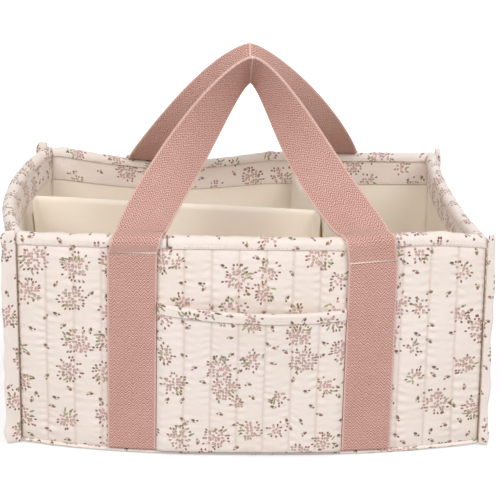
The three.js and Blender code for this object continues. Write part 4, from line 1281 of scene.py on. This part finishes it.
def loop_curves(y_side):
    """The control points of the three curves, and how many steps each takes"""
    root_y = loop_root(y_side)
    over_top = HEIGHT + WEBBING_THICKNESS / 2 + 2 * LAY_GAP
    top_y = WEBBING_HALF * cos(TOP_TILT) + WEBBING_THICKNESS / 2 + TOP_HALF_GAP
    reach, climb = root_y - top_y, HANDLE_TOP - over_top
    root = Vector((LEG_CENTRE, root_y, RIGHT_STITCH + LAY_GAP))
    side = Vector((LEG_CENTRE - STRAP_SHIFT / 3, root_y, RIM_CENTRE))
    corner = Vector((LEG_CENTRE - STRAP_SHIFT / 2, root_y, over_top))
    over = Vector((LEG_CENTRE - STRAP_SHIFT, root_y - 2 * RIM_OUTER_RADIUS, over_top))
    pull = Vector((over.x, root_y - reach * PULL_SHARE, over_top + LAY_GAP))
    hang_y, hang_z = top_y - reach * HANG_IN_SHARE, HANDLE_TOP - climb * HANG_DROP_SHARE
    hang = Vector((LEG_CENTRE * HANG_OUT_SHARE, hang_y, hang_z))
    top = Vector((0, top_y, HANDLE_TOP))
    wall, rim, climb = [root, side], [side, corner, over], [over, pull, hang, top]
    return (wall, WALL_STEPS), (rim, RIM_STEPS), (climb, CLIMB_STEPS)


def loop_stations(y_side):
    """Centre, way across and way out of the upper face, from the stitches to the crease"""
    tilt = Vector((0, cos(TOP_TILT), sin(TOP_TILT)))
    stations = []
    for points, steps in loop_curves(y_side):
        for i in range(1 if stations else 0, steps + 1):
            share = i / steps
            climbed = share if steps == CLIMB_STEPS else 0
            ends = [bezier(points, min(max(share + d, 0), 1)) for d in (-NUDGE, NUDGE)]
            along = (ends[1] - ends[0]).normalized()
            across = Vector((1, 0, 0)).lerp(tilt, climbed**TILT_POWER)
            squared = 1 - climbed**SQUARE_POWER if climbed else 0
            across = (across - along * across.dot(along) * squared).normalized()
            stations.append([bezier(points, share), across, along.cross(across).normalized()])
    crease = stations[-1]
    flat = Vector((0, crease[1].z, -crease[1].y))
    crease[2] = flat / flat.dot(crease[2])
    return stations


print("a half loop has", len(loop_stations(-1)), "stations")

# %% [markdown]
# Both halves of a loop share the stations. The right half of each hangs a little to one side in
# the photograph, and the left one starts higher, because its leg is sewn up further.

# %% Free loops
STRAP_SHIFTS, SHIFT_POWER = {-1: -8 * MM, 1: 3 * MM}, 0.75
LOOP_COLUMNS, LOOP_PRINT = 22, (0, 0.4)
CUP_DEPTH, CUP_HEIGHTS = 0.5 * MM, (215 * MM, 280 * MM)


def handle_loop(y_side, name):
    stations = loop_stations(y_side)
    last = len(stations) - 1
    table = np.array([[list(part) for part in station] for station in stations])
    steps = np.linalg.norm(np.diff(table[:, 0], axis=0), axis=1)
    length = 2 * steps.sum()
    marks = np.cumsum([0, *steps, *steps[::-1]]) / length

    def place(across, up, under):
        station = np.round(up * 2 * last).astype(int)
        x_side = np.where(station > last, -1, 1)
        centre, way, out = np.moveaxis(table[np.minimum(station, 2 * last - station)], 1, 0)
        cup = CUP_DEPTH * np.sin(pi * across) * ramp(centre[:, 2], *CUP_HEIGHTS)
        aside = (2 * across - 1) * WEBBING_HALF
        point = centre + way * aside[:, None] + out * ((0.5 - under) * WEBBING_THICKNESS - cup)[:, None]
        climbed = ramp(centre[:, 2], HEIGHT, HANDLE_TOP)
        point[:, 0] += np.where(x_side > 0, STRAP_SHIFTS[y_side], 0) * np.sin(pi * climbed**SHIFT_POWER)
        risen = ramp(point[:, 2], RIGHT_STITCH + LAY_GAP, RIM_CENTRE)
        left_z = mix(LEFT_STITCH + LAY_GAP, RIM_CENTRE, risen)
        low = (x_side < 0) & (point[:, 2] < RIM_CENTRE)
        x, y, z = x_side * point[:, 0], y_side * point[:, 1], np.where(low, left_z, point[:, 2])
        follow = ramp(HANDLE_TOP - z, 0, HANDLE_TOP - HEIGHT)
        return np.stack([x, y, z + rim_wave(x, y) * np.minimum(z / HEIGHT, 1) ** 2 * follow], axis=1)

    size, rows = (2 * WEBBING_HALF, length), 2 * last
    loop = cloth_piece(
        name + "_free_webbing", "webbing", LOOP_COLUMNS, rows, place, size,
        body=name, origin=LOOP_PRINT, edge=WEBBING_EDGE, marks=marks,
    )
    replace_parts(loop, name + "_loop")
    return length


for y_side, name in ((-1, "front_handle"), (1, "back_handle")):
    print(name, "free length", round(handle_loop(y_side, name), 3), "m")

# %% [markdown]
# ## Dividers
# A divider is a padded sleeve over a board, with a thin flap turned along the wall at each end.
# Sleeve and flaps are one cloth, so they are made as one strip that turns two corners. Three
# straight pieces would be simpler, but they would show joins that the cloth doesn't have.

# %% Plan of a divider strip
DIVIDER_FOOT, DIVIDER_HEIGHT, DIVIDER_HALF = 7.2 * MM, 163 * MM, 2.3 * MM
FLAP_REACH, FLAP_THICKNESS, FLAP_LEAN = 18 * MM, 1.2 * MM, 14 * MM


def plan(x, y):
    return np.array([x, y], dtype=float)


def crossing(spot, way, other, other_way):
    """Where a line through spot along way meets a line through other along other_way"""
    gap = other - spot
    skew = way[0] * other_way[1] - way[1] * other_way[0]
    share = (gap[..., 0] * other_way[1] - gap[..., 1] * other_way[0]) / skew
    return spot + np.multiply.outer(share, way)


def into_room(end):
    """The way from the wall, on which a flap lies, into the room"""
    return plan(-end["facing"][1], end["facing"][0]) * end["in_side"]


def face_line(ends, along, aside, side, lean_share):
    """The four corners of one face of the strip in plan, for each height"""
    corners = []
    for end in ends:
        depth = FLAP_THICKNESS if np.sign(end["facing"] @ aside) == side else 0.0
        shift = np.multiply.outer(depth - end["lean"] * lean_share, into_room(end))
        on_flap = end["place"] + shift
        turn = crossing(end["place"] + aside * side * DIVIDER_HALF, along, on_flap, end["facing"])
        corners.append([on_flap + end["facing"] * FLAP_REACH, turn])
    return [corners[0][0], corners[0][1], corners[1][1], corners[1][0]]


def round_corners(keys, lengths, along, soft):
    """A place along the line through the keys, with its two inner corners rounded"""
    marks = np.cumsum([0, *lengths])
    share = [ramp(along, marks[i], marks[i + 1])[:, None] for i in range(3)]
    spot = keys[0] + sum((keys[i + 1] - keys[i]) * share[i] for i in range(3))
    for i in (1, 2):
        t = ramp(along, marks[i] - soft, marks[i] + soft)[:, None]
        before = keys[i] + (keys[i - 1] - keys[i]) * soft / lengths[i - 1]
        after = keys[i] + (keys[i + 1] - keys[i]) * soft / lengths[i]
        turn = before * (1 - t) ** 2 + keys[i] * 2 * t * (1 - t) + after * t**2
        spot = np.where((t > 0) & (t < 1), turn, spot)
    return spot


print("a flap reaches", FLAP_REACH / MM, "mm along its wall")

# %% [markdown]
# The cross divider runs from front to back at a slant, and the long one from the left wall to
# it. The long one's flap lies against the cross divider, which is pressed flat there.

# %% Where the dividers stand
INSIDE = HALF_DEPTH - STACK_DEPTH
BACK_END_X, BACK_END_IN, FRONT_END_X, FRONT_END_IN = 51 * MM, 9 * MM, 84 * MM, 5 * MM
LEFT_END_Y, MEETING_Y = 27 * MM, -3 * MM
TAPE_ROOM, MEETING_ROOM = 1.8 * MM, 0.8 * MM

cross_back = plan(BACK_END_X, INSIDE - BACK_END_IN)
cross_front = plan(FRONT_END_X, FRONT_END_IN - INSIDE)
cross_along = (cross_front - cross_back) / np.linalg.norm(cross_front - cross_back)
meeting_run = (MEETING_Y - cross_back[1]) / cross_along[1]
meeting = cross_back + cross_along * meeting_run
meeting = meeting + plan(cross_along[1], -cross_along[0]) * (DIVIDER_HALF + TAPE_ROOM + MEETING_ROOM)
left_end = plan(STACK_DEPTH + TAPE_ROOM - HALF_WIDTH, LEFT_END_Y)
DIVIDERS = {
    "cross_divider": {
        "back": {"place": cross_back, "facing": plan(1, 0), "in_side": -1, "lean": 0.0},
        "front": {"place": cross_front, "facing": plan(1, 0), "in_side": 1, "lean": 0.0},
    },
    "long_divider": {
        "left": {"place": left_end, "facing": plan(0, -1), "in_side": 1, "lean": FLAP_LEAN},
        "right": {"place": meeting, "facing": cross_along, "in_side": -1, "lean": 0.0},
    },
}
PRESSED = {"cross_divider": FLAP_REACH + meeting_run + FLAP_REACH / 2}
print("the dividers meet at", meeting.round(4))

# %% [markdown]
# The sleeve is puffed and lightly folded between its ends, with a rounded top. The slot for the
# board is cut with a Boolean modifier, because it is a plain box inside a bent shape.

# %% Divider sleeves with their flaps
CORNER_SOFT, SLEEVE_STEP, SLEEVE_ROWS, SLEEVE_PRINT = 4 * MM, 2 * MM, 74, np.array([1, 0.3])
SLEEVE_PUFF, SLEEVE_FOLD, SLEEVE_FOLD_REACH = 0.7 * MM, 0.9 * MM, 52 * MM
END_FADE, FOOT_FADE, PRESSED_REACH = 12 * MM, 14 * MM, (17 * MM, 29 * MM)
ROW_POWER, TOP_ROUND, TOP_FLATTEN = 1.6, 4.5 * MM, 0.93
SLOT_SHORT, SLOT_THICKNESS, SLOT_HEIGHT, SLOT_DROP = 8.4 * MM, 2.6 * MM, 160 * MM, 2 * MM


def divider_sleeve(name, ends, seed):
    start, finish = (end["place"] for end in ends)
    length = np.linalg.norm(finish - start)
    along = (finish - start) / length
    aside = plan(-along[1], along[0])
    lengths = [FLAP_REACH, length, FLAP_REACH]
    body_from, body_to = FLAP_REACH, FLAP_REACH + length

    def place(across, up, under):
        rise = 1 - (1 - up) ** ROW_POWER
        z = DIVIDER_FOOT + rise * DIVIDER_HEIGHT
        run = across * sum(lengths)
        side = np.where(under > 0.5, -1.0, 1.0)
        lines = {s: face_line(ends, along, aside, s, rise) for s in (1, -1)}
        spots = {s: round_corners(lines[s], lengths, run, CORNER_SOFT) for s in lines}
        outer = np.where(side[:, None] > 0, spots[1], spots[-1])
        middle = (spots[1] + spots[-1]) / 2
        on_body = ramp(run, body_from, body_from + END_FADE) * ramp(run, body_to, body_to - END_FADE)
        if name in PRESSED:
            on_body = on_body * ramp(abs(run - PRESSED[name]), *PRESSED_REACH)
        puff = SLEEVE_PUFF * on_body * ramp(z, DIVIDER_FOOT, DIVIDER_FOOT + FOOT_FADE)
        folds = SLEEVE_FOLD * ripples(run, z, seed, SLEEVE_FOLD_REACH) * on_body
        below_top = np.clip((DIVIDER_FOOT + DIVIDER_HEIGHT - z) / TOP_ROUND, 0, 1)
        round_top = np.sqrt(np.clip(1 - (1 - below_top) ** 2 * TOP_FLATTEN, 0, 1))
        across_body = side[:, None] * aside * ((puff + folds * side)[:, None])
        spot = middle + (outer - middle + across_body) * round_top[:, None]
        return np.column_stack([spot, z])

    size, columns = (sum(lengths), DIVIDER_HEIGHT), round(sum(lengths) / SLEEVE_STEP)
    sleeve = cloth_piece(
        name + "_sleeve", "ivory", columns, SLEEVE_ROWS, place, size, body=name, origin=seed * SLEEVE_PRINT
    )
    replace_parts(sleeve, name + "_cover")
    return sleeve, along, length


def cut_slot(sleeve, board, along, length):
    """Opens the sleeve for its board, with a little room all round"""
    low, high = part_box(board)
    bm = bmesh.new()
    bmesh.ops.create_cube(bm, size=1)
    bmesh.ops.scale(bm, verts=bm.verts, vec=(length - SLOT_SHORT, SLOT_THICKNESS, SLOT_HEIGHT))
    turn = Matrix.Rotation(np.arctan2(along[1], along[0]), 4, "Z")
    middle = Matrix.Translation((low + high) / 2 - Vector((0, 0, SLOT_DROP)))
    bmesh.ops.transform(bm, verts=bm.verts, matrix=middle @ turn)
    cutter_mesh = bpy.data.meshes.new("slot")
    bm.to_mesh(cutter_mesh)
    bm.free()
    cutter = bpy.data.objects.new("slot", cutter_mesh)
    bpy.context.scene.collection.objects.link(cutter)
    cut = sleeve.modifiers.new("slot", "BOOLEAN")
    cut.operation, cut.object, cut.solver = "DIFFERENCE", cutter, "EXACT"
    evaluated = sleeve.evaluated_get(bpy.context.evaluated_depsgraph_get())
    mesh = bpy.data.meshes.new_from_object(evaluated)
    sleeve.modifiers.clear()
    sleeve.data = mesh
    bpy.data.objects.remove(cutter)


for seed, (name, ends) in enumerate(DIVIDERS.items(), start=3):
    sleeve, along, length = divider_sleeve(name, list(ends.values()), seed)
    cut_slot(sleeve, name + "_board", along, length)
    print(sleeve.name, len(sleeve.data.polygons), "faces")

# %% [markdown]
# ## Threads
# Sewing thread shows as a row of small raised dashes. A dashed texture would do from far away,
# but real stitches catch the light at an edge. Each is a small stretched ball, laid along its
# row at an even pitch.

# %% A row of stitches
STEP_AHEAD = 0.1 * MM


def read_along(at, marks, points):
    return np.array([np.interp(at, marks, points[:, k]) for k in range(3)])


def stitch_row(name, finish, rows, pitch, length, thick):
    """rows is a list of (points, ways out); one piece holds all their stitches"""
    bm = bmesh.new()
    count = 0
    for points, outward in rows:
        steps = np.linalg.norm(np.diff(points, axis=0), axis=1)
        marks = np.concatenate([[0], np.cumsum(steps)])
        for at in np.arange(pitch / 2, marks[-1] - pitch / 4, pitch):
            spot = read_along(at, marks, points)
            out = Vector(read_along(at, marks, outward)).normalized()
            way = Vector(read_along(at + STEP_AHEAD, marks, points) - spot).normalized()
            across = way.cross(out).normalized()
            axes = Matrix((way, across, across.cross(way) * -1)).transposed().to_4x4()
            shape = Matrix.Diagonal((length / 2, thick / 2, thick / 2, 1))
            matrix = Matrix.Translation(Vector(spot)) @ axes @ shape
            bmesh.ops.create_icosphere(bm, subdivisions=1, radius=1, matrix=matrix)
            count += 1
    bmesh.ops.recalc_face_normals(bm, faces=bm.faces)
    mesh = bpy.data.meshes.new(name)
    bm.to_mesh(mesh)
    bm.free()
    print(name, count, "stitches")
    return finished(name, mesh, finish, "caddy")


def wall_row(side, run, depth, z, outward_sign):
    """A row on a wall: its points and the way out at each"""
    points = wall_spot(side, run, depth, z)
    return points, wall_spot(side, run, depth - outward_sign * MM, z) - points


rim_ends = wall_row("front", np.array([-HALF_WIDTH, HALF_WIDTH]), 0.0, HEIGHT, 1)[0]
print("a row along the front rim runs from", rim_ends[0] / MM, "to", rim_ends[1] / MM, "mm")

# %% [markdown]
# One row of fine ivory stitches runs outside under each rim band, and one inside along the hem
# of each facing. Both lie a hair above the cloth, so that they catch the light.

# %% Stitches of the rim bands and facings
RIM_ROW_END, RIM_ROW_UP, RIM_ROW_PROUD = 4 * MM, 1.3 * MM, 0.15 * MM
INNER_ROW_END, INNER_ROW_UP, INNER_ROW_PROUD = 9 * MM, 2 * MM, 0.05 * MM
FINE_STITCH = {"pitch": 3.2 * MM, "length": 2.4 * MM, "thick": 0.5 * MM}
ROW_POINTS = 80

rim_rows, inner_rows = [], []
for side, half in HALVES.items():
    run = np.linspace(RIM_ROW_END - half, half - RIM_ROW_END, ROW_POINTS)
    depth, z = STACK_DEPTH / 2 - RIM_OUTER_RADIUS - RIM_ROW_PROUD, HEIGHT - RIM_BAND_HEIGHT + RIM_ROW_UP
    rim_rows.append(wall_row(side, run, depth, z, 1))
    run = np.linspace(INNER_ROW_END - half, half - INNER_ROW_END, ROW_POINTS)
    depth, z = STACK_DEPTH + INNER_ROW_PROUD, HEIGHT - FACING_DROP + INNER_ROW_UP
    inner_rows.append(wall_row(side, run, depth, z, -1))
stitch_row("rim_stitches", "ivory thread", rim_rows, **FINE_STITCH)
stitch_row("facing_stitches", "ivory thread", inner_rows, **FINE_STITCH)

# %% [markdown]
# A few bold stitches hold the lapped end of the rim band, in a dark brown that stands in for
# the shade line along the lapped edge. They come over the rim, run down the end of the band and
# turn off along it.

# %% Stitches of the lapped end
LAP_FROM, LAP_POINTS, LAP_PROUD = radians(105), 16, 0.2 * MM
LAP_DOWN, LAP_ALONG = np.array([1, 2, 3, 3, 3]) * MM, np.array([0, 0.4, 1.5, 4, 6.5]) * MM
LAP_STITCH = {"pitch": 1.6 * MM, "length": 2.2 * MM, "thick": 1.1 * MM}

turn = np.linspace(LAP_FROM, 0, LAP_POINTS)
lap_z = np.append(RIM_CENTRE + RIM_OUTER_RADIUS * np.sin(turn), RIM_CENTRE - LAP_DOWN)
lap_run = LAP_PLACE + np.append(0 * turn, LAP_ALONG)
lap_out = np.append(np.cos(turn), np.ones(len(LAP_DOWN)))
lap_depth = STACK_DEPTH / 2 - RIM_OUTER_RADIUS * lap_out - LAP_PROUD
lap_points = wall_spot("front", lap_run, lap_depth, lap_z)
lap_ways = lap_points - wall_spot("front", lap_run, STACK_DEPTH / 2, RIM_CENTRE)
stitch_row("lap_shade_line_stitches", "brown shade-line thread", [(lap_points, lap_ways)], **LAP_STITCH)

# %% [markdown]
# The thick pale rows across the legs cover the joint between the sewn and the free webbing.
# Rows of tan thread hold the bound corner seams to the walls.

# %% Stitches of the legs and corner seams
LEG_ROW_END, LEG_ROW_PROUD, LEG_ROW_UP, LEG_ROW_POINTS = 0.6 * MM, 0.4 * MM, 0.1 * MM, 20
LEG_STITCH = {"pitch": 2.2 * MM, "length": 2.9 * MM, "thick": 1.5 * MM}
SEAM_ROW_OUT, SEAM_ROW_ALONG, SEAM_ROW_POINTS = 0.3 * MM, 2.4 * MM, 60
SEAM_ROW_FOOT, SEAM_ROW_TOP = 2 * MM, HEIGHT - 1 * MM
SEAM_STITCH = {"pitch": 2.6 * MM, "length": 3.0 * MM, "thick": 1.5 * MM}

leg_rows, seam_rows = [], []
for side in ("front", "back"):
    for x_side in (-1, 1):
        reach = WEBBING_HALF - LEG_ROW_END
        run = x_side * LEG_CENTRE + np.linspace(-reach, reach, LEG_ROW_POINTS)
        depth = LEG_IN - WEBBING_THICKNESS - LEG_ROW_PROUD
        leg_rows.append(wall_row(side, run, depth, stitch_height(x_side) + LEG_ROW_UP, 1))
stitch_row("leg_stitches", "pale thread", leg_rows, **LEG_STITCH)
for x_side in (-1, 1):
    for y_side in (-1, 1):
        z = np.linspace(SEAM_ROW_FOOT, SEAM_ROW_TOP, SEAM_ROW_POINTS)
        x = np.full(SEAM_ROW_POINTS, x_side * (HALF_WIDTH + SEAM_ROW_OUT))
        y = np.full(SEAM_ROW_POINTS, y_side * (HALF_DEPTH + SEAM_ROW_ALONG))
        points = settled_wall(x, y, z)
        seam_rows.append((points, settled_wall(x, y + y_side * MM, z) - points))
stitch_row("corner_stitches", "tan thread", seam_rows, **SEAM_STITCH)

# %% [markdown]
# ## Hook tapes and boards
# The hook tape on each flap holds the divider to the lining. It is thin and hidden, so a sheet
# with rounded edges is enough. The boards are stiff and keep their CAD shape.

# %% Hook tapes, and the finish of the boards
TAPE_WIDTH, TAPE_THICKNESS, TAPE_END, TAPE_GRID = 14 * MM, 1 * MM, 12 * MM, (8, 60)


def hook_tape(name, end, body):
    def place(across, up, under):
        z = mix(DIVIDER_FOOT + TAPE_END, DIVIDER_FOOT + DIVIDER_HEIGHT - TAPE_END, up)
        reach = mix(FLAP_REACH - TAPE_WIDTH, FLAP_REACH, across)
        lean = end["lean"] * (z - DIVIDER_FOOT) / DIVIDER_HEIGHT
        depth = -LAY_GAP - (1 - under) * TAPE_THICKNESS - lean
        spot = end["place"] + np.multiply.outer(reach, end["facing"])
        return np.column_stack([spot + np.multiply.outer(depth, into_room(end)), z])

    size = (TAPE_WIDTH, DIVIDER_HEIGHT - 2 * TAPE_END)
    tape = cloth_piece(name + "_strip", "hooks", *TAPE_GRID, place, size, body=body, edge=0.2 * MM)
    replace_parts(tape, name)


for name, ends in DIVIDERS.items():
    for end_name, end in ends.items():
        hook_tape(f"{name}_{end_name}_hook_tape", end, name)
boards = [node for name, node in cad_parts.items() if name.endswith("_board")]
for board in boards:
    board.data.materials.clear()
    board.data.materials.append(board_finish)
print(len(boards), "boards keep their CAD shape")

# %% [markdown]
# ## Studio
# The caddy stands on a white sweep in soft light. A white background could come from strong
# lamps, but those would bleach the cloth. The floor and the world are shown white to the camera
# only, and the caddy is lit at a plain level by three large soft lamps and the sky.

# %% Floor
FLOOR_HALF, PAPER_TONES = 4, (tone(204, 204, 204), tone(210, 210, 210))
GLOW_LEAST, GLOW_REACH = 0.5, (0.3, 1.1)


def studio_floor():
    bm = bmesh.new()
    bmesh.ops.create_grid(bm, x_segments=1, y_segments=1, size=FLOOR_HALF)
    mesh = bpy.data.meshes.new("studio_floor")
    bm.to_mesh(mesh)
    bm.free()
    floor = bpy.data.objects.new("studio_floor", mesh)
    bpy.context.scene.collection.objects.link(floor)
    material = bpy.data.materials.new("studio paper")
    material.use_nodes = True
    bench = Bench(material.node_tree)
    spot = own_spot(bench)
    grain = bench.noise(spot, scale=60.0, detail=2.0, dimensions="3D")
    colour = bench.blend(grain, *PAPER_TONES)
    paper = bench.add("BsdfPrincipled", {"Base Color": colour, "Roughness": 0.95}).outputs[0]
    far = bench.step(bench.arrow("LENGTH", spot), *GLOW_REACH)
    strength = bench.math("MULTIPLY_ADD", far, 1 - GLOW_LEAST, GLOW_LEAST)
    glow = bench.add("Emission", {"Color": (1, 1, 1, 1), "Strength": strength}).outputs[0]
    lit = bench.add("AddShader", {0: paper, 1: glow}).outputs[0]
    seen = bench.add("LightPath").outputs["Is Camera Ray"]
    lift = bench.add("MixShader", {0: seen, 1: paper, 2: lit}).outputs[0]
    bench.fill(bench.add("OutputMaterial").inputs[0], lift)
    mesh.materials.append(material)
    floor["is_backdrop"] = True


studio_floor()
print("the floor is", 2 * FLOOR_HALF, "m wide")

# %% [markdown]
# A small lamp would draw hard edges on cloth. Two large soft ones light the front from both
# sides, a weaker one lifts the back, and the sky fills the inside of the caddy.

# %% Lamps and sky
SKY_LEVEL, LAMP_AIM = 0.44, (0, 0, 0.1)
LAMPS = {
    "key": {"spot": (-1.2, -1.8, 1.95), "size": 1.8, "power": 32, "colour": (1, 0.985, 0.97)},
    "fill": {"spot": (1.3, -1.7, 2.05), "size": 1.8, "power": 27, "colour": (1, 0.99, 0.98)},
    "back": {"spot": (0.8, 1.8, 1.5), "size": 1.5, "power": 12, "colour": (0.98, 0.99, 1)},
}


def soft_lamp(name, spot, size, power, colour):
    light = bpy.data.lights.new(name, "AREA")
    light.shape, light.size, light.energy, light.color = "DISK", size, power, colour
    lamp = bpy.data.objects.new(name, light)
    lamp.location = spot
    lamp.rotation_euler = (Vector(LAMP_AIM) - Vector(spot)).to_track_quat("-Z", "Y").to_euler()
    bpy.context.scene.collection.objects.link(lamp)


def white_sky():
    """White to the camera, in gloss and through glass, and plain elsewhere"""
    world = bpy.data.worlds.new("white studio")
    world.use_nodes = True
    sky = Bench(world.node_tree)
    path = sky.add("LightPath").outputs
    mirrored = sky.math("MAXIMUM", path["Is Glossy Ray"], path["Is Transmission Ray"])
    shown = sky.math("MAXIMUM", path["Is Camera Ray"], mirrored)
    strength = sky.math("MULTIPLY_ADD", shown, 1 - SKY_LEVEL, SKY_LEVEL)
    backdrop = sky.add("Background", {"Color": (1, 1, 1, 1), "Strength": strength})
    sky.fill(sky.add("OutputWorld").inputs[0], backdrop.outputs[0])
    bpy.context.scene.world = world


for name, lamp in LAMPS.items():
    soft_lamp(name, **lamp)
white_sky()
bpy.context.scene.view_settings.view_transform = "Standard"
print("lamps:", {name: lamp["power"] for name, lamp in LAMPS.items()})

# %% [markdown]
# ## Measure
# Cloth that swells too far would no longer fit the CAD model. So the box round the looks is
# measured and printed beside the box of the CAD model.

# %% Measure
boxes = {"cad": [list(part) for part in cad_box], "looks": [list(part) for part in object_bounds()]}
for label, (low, high) in boxes.items():
    print(label, [round((b - a) * 1000, 1) for a, b in zip(low, high)], "mm")
